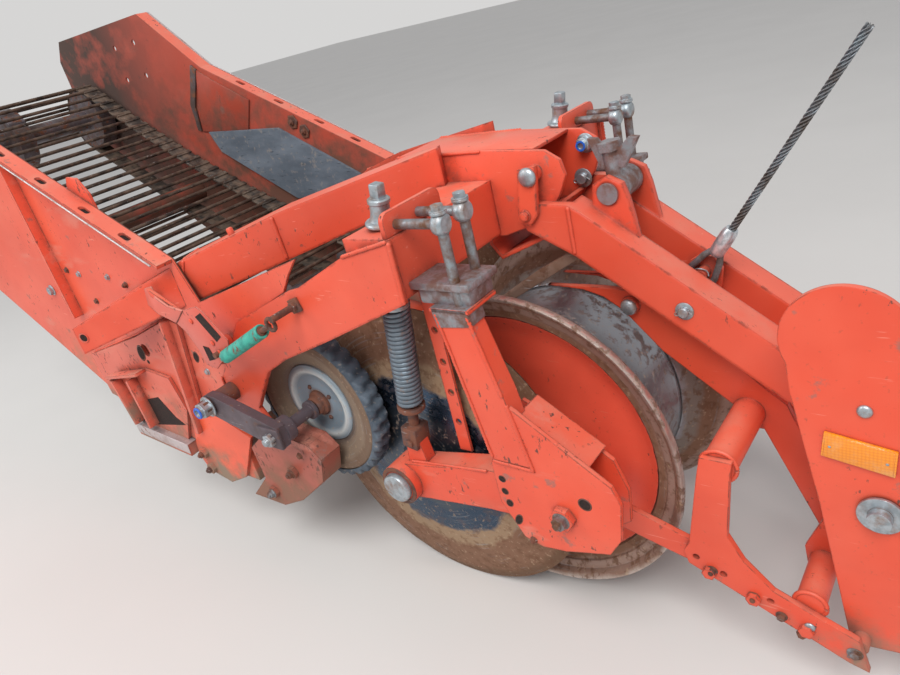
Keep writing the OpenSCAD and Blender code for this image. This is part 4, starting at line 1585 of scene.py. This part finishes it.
@dataclass
class WeldBeads:
    """Fillet welds: rippled beads laid along the joints, under the paint.

    Each row of a table is a line's corners and the radius of its bead; the lines
    on a diagonal beam give the distance down the beam, across it, and the height.
    """

    seed: int = 7  # without one, Blender's noise follows the clock
    step_mm: float = 3.0
    foot_x: float = 979
    foot_out: float = 400
    beam_yaw: float = math.radians(24.1)
    ring_radius: float = 3.6
    rings: tuple[Point, ...] = ((2294, -590, 26), (2413, -812, 22))
    on_beam: Lines = (
        (((340, 60, -247), (318, 60, -300), (330, 60, -333)), 3.6),
        (((342, 60, -246), (342, 0, -246)), 3.6),
        (((560, 61, -192), (563, 61, -276)), 4))
    on_frame: Lines = (
        (((1911, 339, -191), (1911, 341, -288)), 4),
        (((1909, 341, -190), (1806, 341, -216)), 3.2),
        (((2036, 318, -452), (2060, 318, -568), (1986, 318, -566)), 3.6),
        (((1946, 320, -308), (1989, 320, -560)), 3),
        (((2034, 320, -440), (2003, 320, -308)), 3),
        (((1711, 66, -143), (1896, 66, -143)), 3.2),
        (((1705, 66, -232), (1711, 66, -142)), 4),
        (((2052, 84, -313), (2052, 84, -234)), 4),
        (((2072, 50, -262), (2150, 50, -320)), 3.5),
        (((754, 333, 15), (754, 333, -400)), 3),
        (((724, 333, -520), (1010, 333, -437), (1190, 333, -375)), 3),
        (((1325, 343, -498), (1325, 343, -552)), 3))
    on_arm: Lines = (
        (((1770, 294, -640), (1813, 294, -634), (1955, 305, -606)), 3),
        (((2064, 305, -610), (2062, 305, -680)), 3.4))

    def _bead(self, form: Form, points: Sequence[Vector], radius: float) -> None:
        """Lay one rippled bead along a polyline.

        Args:
            form: Mesh that grows.
            points: Corners of the line, in metres.
            radius: Radius of the bead in millimetres.
        """
        path, radii = [], []
        for a, b in zip(points, points[1:]):
            count = max(2, round((b - a).length / MM / self.step_mm))
            for i in range(count + (b is points[-1])):
                spot = a.lerp(b, i / count)
                path.append(spot + noise.noise_vector(spot * 90) * 0.5 * MM)
                radii.append(radius * (0.82 + 0.3 * ((len(path) - 1) % 2)))
        radii[0] = radii[-1] = radius * 0.4
        form.tube(path, radii, 7)

    def _beam(self, down: float, across: float, z: float) -> Point:
        """Point of a diagonal beam, as X, out and Z."""
        c, s = math.cos(self.beam_yaw), math.sin(self.beam_yaw)
        return self.foot_x + down * c + across * s, self.foot_out - down * s + across * c, z

    def build(self) -> None:
        """Lay every bead that shows, on both sides."""
        noise.seed_set(self.seed)
        on_beam = tuple(([self._beam(*p) for p in points], radius)
                        for points, radius in self.on_beam)
        for side in Side:
            for word, body, lines in (
                    (Body.FRAME.value, Body.FRAME, (*self.on_frame, *on_beam)),
                    ("arm_swing", side.body("arm_swing"), self.on_arm)):
                form = Form()
                for points, radius in lines:
                    self._bead(form, [at(*p, side) for p in points], radius)
                form.piece(f"{side.word}_{word}_welds", "enamel_red", "red_paint", body,
                           smooth_deg=70)
        form = Form()
        for side in Side:
            for x, z, r in self.rings:
                ring = [at(x + r * math.cos(t), 193, z + r * math.sin(t), side)
                        for t in angles(40, 41)]
                self._bead(form, ring, self.ring_radius)
        form.piece("carriage_tube_welds", "enamel_red", "red_paint", Body.CARRIAGE,
                   smooth_deg=70)


@dataclass
class FrameFittings:
    """Bolts, pins and small plates of the frame, the arms and the carriage.

    A table of fasteners gives their body, their finish, and for each one its kind,
    X, out, Z and thread size.
    """

    rows: FastenerRows
    on_both_sides: tuple[FastenerTable, ...] = (
        (Body.FRAME, "zinc_clear", (
            (Head.HEX, 853, 331, -290, 8), (Head.HEX, 995, 331, -291, 8),
            (Head.HEX, 648, 331, -345, 15), (Head.HEX, 1255, 331, -503, 8))),
        (Body.FRAME, "steel_rusty", (
            (Head.HEX, 879, 331, -360, 8), (Head.HEX, 797, 331, -282, 8),
            (Head.NUT, 1064, 331, -307, 8), (Head.NUT, 2031, 318, -716, 7),
            (Head.NUT, 1118, 357, -739, 11), (Head.NUT, 1125, 357, -782, 11),
            (Head.NUT, 1481, 366, -694, 11), (Head.HEX, 1538, 366, -634, 8))),
        (Body.FRAME, "zinc_rusty", (
            (Head.NUT, 2100, 328, -644, 16), (Head.NUT, 1378, 366, -775, 12))),
        (Body.CARRIAGE, "steel_rusty", (
            (Head.NUT, 2276, 205, -789, 9), (Head.NUT, 2337, 205, -819, 9.5),
            (Head.HEX, 2376, 205, -842, 9), (Head.HEX, 2404, 205, -866, 8.5))),
        (Body.CARRIAGE, "zinc_clear", ((Head.DOME, 2415, 205, -846, 8.5),)),
        (Body.CARRIAGE, "zinc_rusty", ((Head.PIN, 2474, 205, -872, 10),)))
    on_near_side: tuple[FastenerTable, ...] = (
        (Body.FRAME, "zinc_clear", (
            (Head.DOME, 1995, 92, -182, 17), (Head.PIN, 2221, 84, -400, 13))),
        (Body.FRAME, "red_bolt", ((Head.HEX, 1978, 92, -245, 11),)),
        (Body.FRAME, "steel_rusty", (
            (Head.SQUARE, 1658, 341, -307, 12), (Head.RIVET, 1411, 380, -350, 12))),
        (Body.FRAME, "zinc_rusty", ((Head.PIN, 2495, 182, -628, 14),)),
        (Body.CARRIAGE, "zinc_clear", (
            (Head.DOME, 2118, 56, -415, 15), (Head.DOME, 2473, 175, -472, 10))))
    far_clamps: Profile = ((991, -115), (1028, -144))
    patch: Profile = ((636, 72), (690, 40), (836, -38), (786, -124), (560, -106),
                      (592, -20))
    strap: Profile = ((620, 88), (640, 72), (568, -30), (556, -104), (540, -100),
                      (548, -22))
    bracket: Profile = ((985, -150), (985, -82), (1000, -62), (1040, -66), (1068, -100),
                        (1074, -160))

    def build(self) -> None:
        """Set every fitting from its table."""
        for body, finish, seats in self.on_both_sides:
            for head, x, out, z, size in seats:
                twist = 0.2 + 0.009 * (x % 97)  # every head stands turned another way
                for side in Side:
                    self.rows.put(head, at(x, out, z, side), side.look, size, body, finish,
                                  twist)
        for body, finish, seats in self.on_near_side:
            for head, x, out, z, size in seats:
                self.rows.put(head, at(x, out, z), Side.NEAR.look, size, body, finish)
        for x, z in self.far_clamps:
            self.rows.put(Head.NUT, at(x, 325, z, Side.FAR), Side.NEAR.look, 12, Body.FRAME,
                          "steel_rusty")
        self._plates()

    def _plates(self) -> None:
        """Build the patch, strap and clamps of the far wall, a bracket and a peg."""
        patch, strap, bracket, clamps, peg = (Form() for _ in range(5))
        patch.plate(self.patch, 325, -4, Side.FAR, 0.8)
        # the patch takes the darker red of painted shade
        patch.piece("far_wall_patch", "enamel_red_shaded_inside", "red_paint")
        strap.plate(self.strap, 325, -6, Side.FAR, 0.8)
        strap.piece("far_wall_strap", "steel_rolled", "worn_steel")
        bracket.plate(self.bracket, 325, -6, bevel_mm=1.0)
        bracket.lathe([(0, 0), (15, 0), (15.5, 1), (15, 2.4), (9, 2.6), (9, 9), (8, 10),
                       (0, 10)], stand(at(1022, 319, -88), Side.FAR.look), 6)
        bracket.piece("near_wall_bracket", "enamel_red_worn", "red_paint")
        for x, z in self.far_clamps:
            clamps.lathe([(0, 0), (20, 0), (21, 1), (21, 3), (19, 4.5), (0, 4.5)],
                         stand(at(x, 325, z, Side.FAR), Side.NEAR.look), 6)
        clamps.piece("far_wall_clamp_plates", "steel_rusty", "worn_steel")
        peg.lathe([(0, 0), (12, 0), (12, 2), (7, 3), (6.5, 24), (5, 26), (0, 26)],
                  stand(at(1411, 250, -229), Vector((-0.12, -0.1, 1))), 20)
        peg.piece("beam_peg", "enamel_red", "red_paint")


@dataclass
class CentreBox:
    """Welded box at the top: side plates, cover, floor and an open trough beneath.

    It is open at the front, where the far plate shows its lock nut and link pin.
    """

    rows: FastenerRows
    half: float = 66
    wall: float = 8
    boss_out: float = 98
    side_plate: Profile = (
        (1705, -232), (1711, -142), (1896, -142), (2015, -149), (2040, -165), (2046, -190),
        (2030, -222), (2000, -262), (1914, -290), (1800, -290))
    cross_plates: tuple[Profile, ...] = (
        ((1705, -232), (1711, -142), (1896, -142), (1992, -147), (1991, -153),
         (1896, -149), (1718, -149), (1713, -232)),
        ((1706, -232), (1800, -290), (1914, -290), (2000, -262), (2008, -250),
         (2002, -246), (1996, -256), (1913, -283), (1802, -283), (1712, -228)),
        ((1890, -338), (2006, -290), (2003, -284), (1891, -331)),
        ((1890, -338), (1869, -310), (1871, -284), (1878, -285), (1876, -308),
         (1893, -332)),
        ((2006, -290), (2000, -262), (1993, -264), (1998, -286)))

    def build(self) -> None:
        """Build the box and the fasteners inside its far plate."""
        form = Form()
        for side in Side:
            form.plate(self.side_plate, self.half, -self.wall, side, 1.4)
            form.rod(at(1995, self.half - 2, -182, side),
                     at(1995, self.boss_out, -182, side), 12, 28)
        inner = self.half - self.wall
        for outline in self.cross_plates:
            form.plate(outline, inner, -2 * inner, bevel_mm=0.8)
        form.piece("centre_box_plates", "enamel_red", "red_paint", replaces=["centre_box"])
        look = Side.NEAR.look
        seat = at(2022, inner, -173, Side.FAR)
        self.rows.put(Head.LOCKNUT, seat, look, 17, Body.FRAME, "zinc_clear")
        insert = Form()
        insert.lathe([(5.4, 20), (8.8, 20), (8.8, 21), (5.4, 21), (5.4, 20)],
                     stand(seat, look), 24)
        insert.piece("centre_box_nut_insert", "nylon_blue", "zinc")
        self.rows.put(Head.PIN, at(2008, inner, -232, Side.FAR), look, 15, Body.FRAME,
                      "zinc_clear")


@dataclass
class ScraperBar:
    """Flat pointed bar under the trough that scrapes the waist of the roller.

    Its outline is given by the share of the way to the tip and the width there.
    """

    out: float = 60
    thickness: float = 12
    top: Pair = (2066, -309)
    tip: Pair = (1840, -437)
    outline: Profile = ((0, 7), (0, -9), (0.45, -12), (0.8, -8), (1, -1), (1, 1), (0.72, 9))

    def build(self) -> None:
        """Build the bar with its tapered tip."""
        out = self.out - self.thickness / 2
        a, b = (at(x, out, z) for x, z in (self.top, self.tip))
        across = (b - a).normalized().cross(Vector((0, 1, 0))) * MM
        form = Form()
        form.prism([a.lerp(b, share) + across * width for share, width in self.outline],
                   Vector((0, -self.thickness * MM, 0)), 1.2)
        form.piece("roller_scraper_bar", "steel_soil", "worn_steel")


@dataclass
class SwingBoltClamp:
    """Clamp of one outrigger: flanged casting, two studs, and eyes on cross rods."""

    side: Side
    rows: FastenerRows
    studs: Pair = (253, 305)
    stud_x: float = 1985
    eye_z: float = -177
    tube_x: float = 1904
    eye: Profile = ((0, -10), (12, -10), (15, -7.5), (16.5, -3), (16.5, 3), (15, 7.5),
                    (12, 10), (0, 10))
    washer: Profile = ((0, 0), (11.5, 0), (12.5, 1), (12.5, 4), (11.5, 5), (0, 5))

    def _at(self, out: float, z: float) -> Vector:
        """Point of a stud in metres."""
        return at(self.stud_x, out, z, self.side)

    def build(self) -> None:
        """Build the casting and the swing bolts."""
        word, up = self.side.word, Vector((0, 0, 1))
        casting, studs, eyes = Form(), Form(), Form()
        for size, x, out, z, bevel in (((110, 75, 12), 55, 277.5, -270, 2.5),
                                       ((94, 62, 28), 56, 278, -287, 5)):
            casting.block(size, stand(at(self.tube_x + x, out, z, self.side), up), bevel)
        casting.piece(f"{word}_clamp_casting", "zinc_clamp", "zinc",
                      replaces=[f"{word}_clamp"])
        for out in self.studs:
            eye = self._at(out, self.eye_z)
            studs.rod(self._at(out, -302), eye, 8, 24)
            studs.rod(at(self.tube_x - 18, out, self.eye_z, self.side),
                      eye - Vector((8 * MM, 0, 0)), 7.5, 24)
            eyes.lathe(self.eye, stand(eye, Vector((1, 0, 0))), 36)
            eyes.lathe(self.washer, stand(self._at(out, self.eye_z + 14), up), 28)
            self.rows.put(Head.HEX, self._at(out, self.eye_z + 18.6), up, 13, Body.FRAME,
                          "zinc_clear")
        studs.piece(f"{word}_clamp_studs", "zinc_rusty", "zinc")
        eyes.piece(f"{word}_clamp_eyes", "zinc_clear", "zinc")


@dataclass
class OutriggerDetails:
    """Rounded clamp plate, the leg's bare casting, spring yoke and hub cap."""

    side: Side
    rows: FastenerRows
    plate_x: float = 1892.5
    plate_thickness: float = 9.4
    plate_width: Pair = (197, 330)
    plate_height: Pair = (-191, -155)
    corner: float = 14
    leg_casting: Profile = ((1940, -299), (2006, -299), (2009, -326), (1946, -332))
    seat: Profile = ((0, 72), (24.6, 72), (25.2, 74), (25.2, 80), (24.4, 81.4), (0, 81.4))
    hub_ring: Profile = ((31, 321), (39.6, 321), (40.2, 322), (39.8, 323.2), (32, 323.4),
                         (31, 321))
    hub_cap: Profile = ((0, 322.5), (29.4, 322.5), (29.4, 330.5), (27.6, 333.6),
                        (24, 334.6), (0, 335.4))

    def build(self) -> None:
        """Build the plate, the casting, the yoke, and the hub's ring and cap."""
        word, side, arm = self.side.word, self.side, self.side.body("arm_swing")
        plate, casting, yoke, ring, cap = (Form() for _ in range(5))
        plate.prism([Vector((self.plate_x, side.value * out, z)) * MM
                     for out, z in self._rounded()],
                    Vector((self.plate_thickness * MM, 0, 0)), 1.0)
        plate.piece(f"{word}_clamp_plate", "enamel_red_worn", "red_paint")
        casting.plate(self.leg_casting, 283, 39, side, 1.5)
        casting.piece(f"{word}_leg_casting", "zinc_clamp", "worn_steel")
        yoke.block((40, 34, 44), spring_axis(side, 14), 3)
        yoke.rod(spring_axis(side, 30).translation, spring_axis(side, 73).translation, 9.5,
                 24)
        yoke.lathe(self.seat, spring_axis(side, 0), 40)
        yoke.piece(f"{word}_spring_yoke", "steel_rusty", "worn_steel", arm)
        self.rows.put(Head.HEX, at(1787, SWING_OUT + 17, -592, side), side.look, 11, arm,
                      "steel_rusty")
        hub = axle(DISC_HUB, 0, side)
        ring.lathe(self.hub_ring, hub, 56)
        ring.piece(f"{word}_hub_ring", "steel_rusty", "worn_steel", arm)
        cap.lathe(self.hub_cap, hub, 56)
        cap.piece(f"{word}_hub_cap", "zinc_clear", "zinc", side.body("cutting_disc"))

    def _rounded(self) -> list[Pair]:
        """Trace the plate with its rounded upper corners.

        Returns:
            Its corners, as out and Z in millimetres.
        """
        (low, high), (bottom, top), r = self.plate_width, self.plate_height, self.corner
        turns = [math.radians(15 * i) for i in range(7)]
        left = [(low + r - r * math.cos(t), top - r + r * math.sin(t)) for t in turns]
        right = [(high - r + r * math.sin(t), top - r + r * math.cos(t)) for t in turns]
        return [(low, bottom)] + left + right + [(high, bottom)]


@dataclass
class WallDetails:
    """Front plate, step bracket, scoured skid, flange edge, beam pipe and holes."""

    side: Side
    plates: tuple[Plate, ...] = (
        (((1196, -374), (1240, -392), (1345, -452), (1352, -560), (1318, -660),
          (1230, -640), (1143, -612)), 326, 5, 0.8),
        (((1196, -374), (1204, -378), (1152, -672), (1138, -672)), 331, 30, 1.0),
        (((836, -566), (848, -570), (872, -694), (860, -698)), 348, 26, 1.0),
        (((926, -556), (938, -552), (946, -690), (934, -694)), 348, 26, 1.0),
        (((830, -556), (1002, -522), (1004, -530), (832, -564)), 348, 28, 1.0))
    skid: tuple[Plate, ...] = (
        (((846, -699), (1079, -716), (1076, -744), (844, -727)), 364.6, 1.6, 0.6),
        (((846, -698.8), (1079, -715.8), (1079, -717.4), (846, -700.4)), 340, 26, 0.5))
    step_shade: Plate = (
        ((913, -627), (1004, -602), (1049, -651), (1081, -668), (830, -717)), 348.9, 0.6, 0)
    flange: Profile = ((-96, 260), (429, 260), (652, 75.1), (1289, -236.4))
    flange_slots: Profile = ((790, 10), (930, -58), (1070, -127), (1190, -185))
    flange_slope: float = 0.488
    slot: Profile = ((-19, 341), (19, 341), (19, 355), (-19, 355))
    pipe: Profile = ((8.6, -1), (12.4, -1), (12.4, 1.2), (11.6, 1.8), (9.4, 1.8), (8.6, 1),
                     (8.6, -1))
    holes: tuple[tuple[float, float, float, float, float], ...] = (
        (1995, 318, -601, 6, 1.0), (1995, 318, -626, 6, 1.0), (1999, 318, -649, 6, 1.2),
        (2010, 318, -680, 6, 1.9), (2140, 318, -609, 10, 1.0), (1006, 341, -483, 14, 1.5),
        (1022, 341, -505, 5, 1.0), (1232, 331, -470, 9, 1.5), (1064, 331, -350, 5, 1.0),
        (905, 331, -420, 5, 1.0), (1135, 341, -600, 5, 1.0), (1160, 341, -604, 5, 1.0))

    def build(self) -> None:
        """Build the details of one wall."""
        word, side = self.side.word, self.side
        red, skid, lip, shade = Form(), Form(), Form(), Form()
        for form, plates in ((red, self.plates), (skid, self.skid),
                             (shade, (self.step_shade,))):
            for outline, out, thickness, bevel_mm in plates:
                form.plate(outline, out, thickness, side, bevel_mm)
        red.piece(f"{word}_wall_brackets", "enamel_red_scoured", "red_paint")
        skid.piece(f"{word}_skid_wear_face", "steel_scoured", "worn_steel")
        edge = [at(x, 371.4, z, side) for x, z in self.flange]
        for a, b in zip(edge, edge[1:]):
            lip.rod(a, b, 1.9, 8)
        lip.piece(f"{word}_flange_worn_edge", "steel_scoured", "worn_steel")
        for x, z in self.flange_slots:
            shade.prism([at(x + dx, out, z - 6.6 - self.flange_slope * dx, side)
                         for dx, out in self.slot], Vector((0, 0, 0.8 * MM)))
        shade.piece(f"{word}_flange_slot_shade", "shade_in_holes", "worn_steel")
        self._beam_pipe()
        self._holes()

    def _beam_pipe(self) -> None:
        """Open end of the pipe welded into the diagonal beam's lower end, with a disc of
        painted shade in its bore.
        """
        look = Vector((0.41, self.side.value * 0.912, 0))
        place = stand(at(1021, 446.6, -384, self.side), look)
        ring, bore = Form(), Form()
        ring.lathe(self.pipe, place, 32)
        ring.piece(f"{self.side.word}_beam_pipe", "enamel_red_worn", "red_paint")
        # near-black disc inside the bore: painted shade
        bore.lathe([(0, -0.5), (9, -0.5), (9, 0.5), (0, 0.5)], place, 24)
        bore.piece(f"{self.side.word}_beam_pipe_bore", "shade_in_holes", "worn_steel")

    def _holes(self) -> None:
        """Drilled and slotted holes, as thin discs of painted shade inside a worn ring."""
        dark, ring = Form(), Form()
        for x, out, z, r, stretch in self.holes:
            place = (stand(at(x, out, z, self.side), self.side.look, math.radians(62))
                     @ Matrix.Diagonal((stretch, 1, 1, 1)))
            # thin near-black disc in each hole: painted shade
            dark.lathe([(0, 0.25), (r * 0.9, 0.25), (r, 0), (0, 0)], place, 24)
            ring.lathe([(r * 0.9, 0), (r * 0.93, 0.45), (r * 1.1, 0.4), (r * 1.16, 0),
                        (r * 0.9, 0)], place, 24)
        dark.piece(f"{self.side.word}_hole_recesses", "shade_in_holes", "worn_steel")
        ring.piece(f"{self.side.word}_hole_rims", "steel_rusty", "worn_steel")


@dataclass
class LeverDetails:
    """Nuts and boss of one haulm lever, with the blue insert of its lock nut."""

    side: Side
    rows: FastenerRows
    post_out: float = 406
    insert: Profile = ((8.3, 25.2), (12.6, 25.2), (12.9, 27.4), (11.6, 29), (8.3, 29),
                       (8.3, 25.2))

    def build(self) -> None:
        """Build the insert and the boss, and set the nuts."""
        word, side, lever = self.side.word, self.side, self.side.body("haulm_lever")
        post = at(1349, self.post_out, -528, side)
        self.rows.put(Head.LOCKNUT, post, side.look, 24, Body.FRAME, "zinc_clear")
        insert, boss = Form(), Form()
        insert.lathe(self.insert, stand(post, side.look), 32)
        insert.piece(f"{word}_lever_nut_insert", "nylon_blue", "zinc")
        self.rows.put(Head.NUT, at(1532, 402, -567, side), side.look, 19, lever,
                      "zinc_clear")
        boss.block((62, 44, 8), stand(at(1526, 403, -567, side), side.look), 2.0)
        boss.piece(f"{word}_lever_boss", "steel_phosphated", "worn_steel", lever)


@dataclass
class LatchLever:
    """Strap and plate over the latch lever, with two slots and three rivets."""

    rows: FastenerRows
    strap: tuple[Point, ...] = (
        (1223, 366, -289), (1247, 364, -284), (1281, 378, -300), (1327, 386, -310),
        (1375, 386, -317), (1333, 386, -347), (1281, 386, -331), (1231, 376, -320))
    plate: Profile = (
        (1329, -347), (1371, -317), (1424, -305), (1441, -314), (1488, -369), (1481, -391),
        (1412, -440), (1378, -436), (1372, -402), (1352, -365))
    slots: tuple[Profile, ...] = (
        ((1410, -327), (1433, -317), (1471, -363), (1450, -376)),
        ((1394, -391), (1413, -393), (1421, -417), (1396, -424)))
    rivets: Profile = ((1389, -338), (1434, -380), (1446, -398))

    def build(self) -> None:
        """Build the strap and the plate, lay plates of painted shade over the slots, and
        set the rivets.
        """
        latch, slots = Form(), Form()
        latch.prism([at(*p) for p in self.strap], Vector((0, -5 * MM, 0)), 1.2)
        latch.plate(self.plate, 386, 3, bevel_mm=0.8)
        latch.piece("latch_lever_strap", "enamel_red_lever", "red_paint")
        # near-black plates over the slots: painted shade
        for outline in self.slots:
            slots.plate(outline, 389.2, 0.5)
        slots.piece("latch_lever_slot_shade", "shade_in_holes", "worn_steel")
        for x, z in self.rivets:
            self.rows.put(Head.RIVET, at(x, 389, z), Side.NEAR.look, 12, Body.FRAME,
                          "red_bolt")


@dataclass
class Studio:
    """Pale floor, soft lamps and the camera at the photograph's angle."""

    floor_z: float = -0.999
    camera_at: Point = (2.600, -1.006, 0.090)
    azimuth_deg: float = 42.86
    elevation_deg: float = 25.03
    roll_deg: float = -14.39
    focal_px: float = 705
    width_px: float = 900

    def build(self) -> None:
        """Build floor, lamps, sky and camera."""
        self._camera()
        self._floor()
        self._lamps()
        view = bpy.context.scene.view_settings
        view.view_transform = "Standard"

    def _camera(self) -> None:
        """Place the camera from its azimuth, elevation and roll."""
        a, e, r = (math.radians(v) for v in (self.azimuth_deg, self.elevation_deg,
                                             self.roll_deg))
        look = Vector((-math.sin(a) * math.cos(e), math.cos(a) * math.cos(e), -math.sin(e)))
        right = Vector((math.cos(a), math.sin(a), 0))
        up = right.cross(look)
        x = right * math.cos(r) + up * math.sin(r)
        y = -right * math.sin(r) + up * math.cos(r)
        data = bpy.data.cameras.new("camera")
        data.sensor_width = 36
        data.sensor_fit = "HORIZONTAL"
        data.lens = self.focal_px / self.width_px * data.sensor_width
        data.clip_start = 0.02
        camera = bpy.data.objects.new("camera", data)
        camera.matrix_world = (Matrix.Translation(self.camera_at)
                               @ Matrix((x, y, -look)).transposed().to_4x4())
        bpy.context.scene.collection.objects.link(camera)
        bpy.context.scene.camera = camera

    def _floor(self) -> None:
        """Lay the floor just under the lowest rim."""
        form = Form()
        bmesh.ops.create_grid(form.bm, x_segments=1, y_segments=1, size=40,
                              matrix=Matrix.Translation((1, 0, self.floor_z)))
        mesh = form.mesh("floor")
        s = Surface("studio_floor", Coat("#d9d6d2", 0.9), 0.0)
        s.lay(Coat("#d3d0cc", 0.95), s.patches(900, 0.5, 0.3, 3))
        mesh.materials.append(s.done(grain_mm=8, grain=0.05, depth_mm=0.2))
        floor = bpy.data.objects.new("floor", mesh)
        bpy.context.scene.collection.objects.link(floor)

    @staticmethod
    def _lamps() -> None:
        """Light from a pale sky and two large soft lamps."""
        world = bpy.data.worlds.new("studio_sky")
        bpy.context.scene.world = world
        world.use_nodes = True
        tree = world.node_tree
        tree.nodes.clear()
        path = add_node(tree, "LightPath")
        shown = add_node(tree, "Math", {0: path.outputs["Is Camera Ray"],
                                        1: path.outputs["Is Glossy Ray"]},
                         operation="MAXIMUM").outputs[0]
        light = add_node(tree, "Background", {"Color": srgb("#f2f4f8"), "Strength": 0.62})
        pale = add_node(tree, "Background", {"Color": srgb("#e6e5e4"), "Strength": 0.85})
        both = add_node(tree, "MixShader", {0: shown, 1: light.outputs[0],
                                            2: pale.outputs[0]})
        add_node(tree, "OutputWorld", {"Surface": both.outputs[0]})
        for name, place, size, power in (
                ("key_lamp", (3.4, -3.4, 4.2), 3.2, 260.0),
                ("fill_lamp", (-1.6, -3.2, 2.6), 3.0, 70.0)):
            data = bpy.data.lights.new(name, "AREA")
            data.shape = "DISK"
            data.size = size
            data.energy = power
            lamp = bpy.data.objects.new(name, data)
            aim = Vector((1.5, 0, -0.4)) - Vector(place)
            lamp.matrix_world = (Matrix.Translation(place)
                                 @ aim.to_track_quat("-Z", "Y").to_matrix().to_4x4())
            bpy.context.scene.collection.objects.link(lamp)


def main() -> None:
    """Build the scene piece by piece."""
    logging.basicConfig(level=logging.INFO, format="%(message)s")
    palette, shop = Palette(), FastenerShop()
    for maker in (Studio(), palette, shop):
        maker.build()
    palette.dress(frame["nodes"])
    rows = FastenerRows(shop)
    for side in Side:
        for unit in (PressureSpring(side), HaulmWheel(side), CuttingDisc(side, rows),
                     SwingBoltClamp(side, rows), OutriggerDetails(side, rows),
                     WallDetails(side), LeverDetails(side, rows)):
            unit.build()
    for unit in (LatchSpring(), LatchLever(rows), LiftRope(), CentreBox(rows), ScraperBar(),
                 RidgeRoller(), SideReflector(rows), SievingWeb(), WeldBeads(),
                 FrameFittings(rows)):
        unit.build()
    rows.build()


if __name__ == "__main__":
    main()
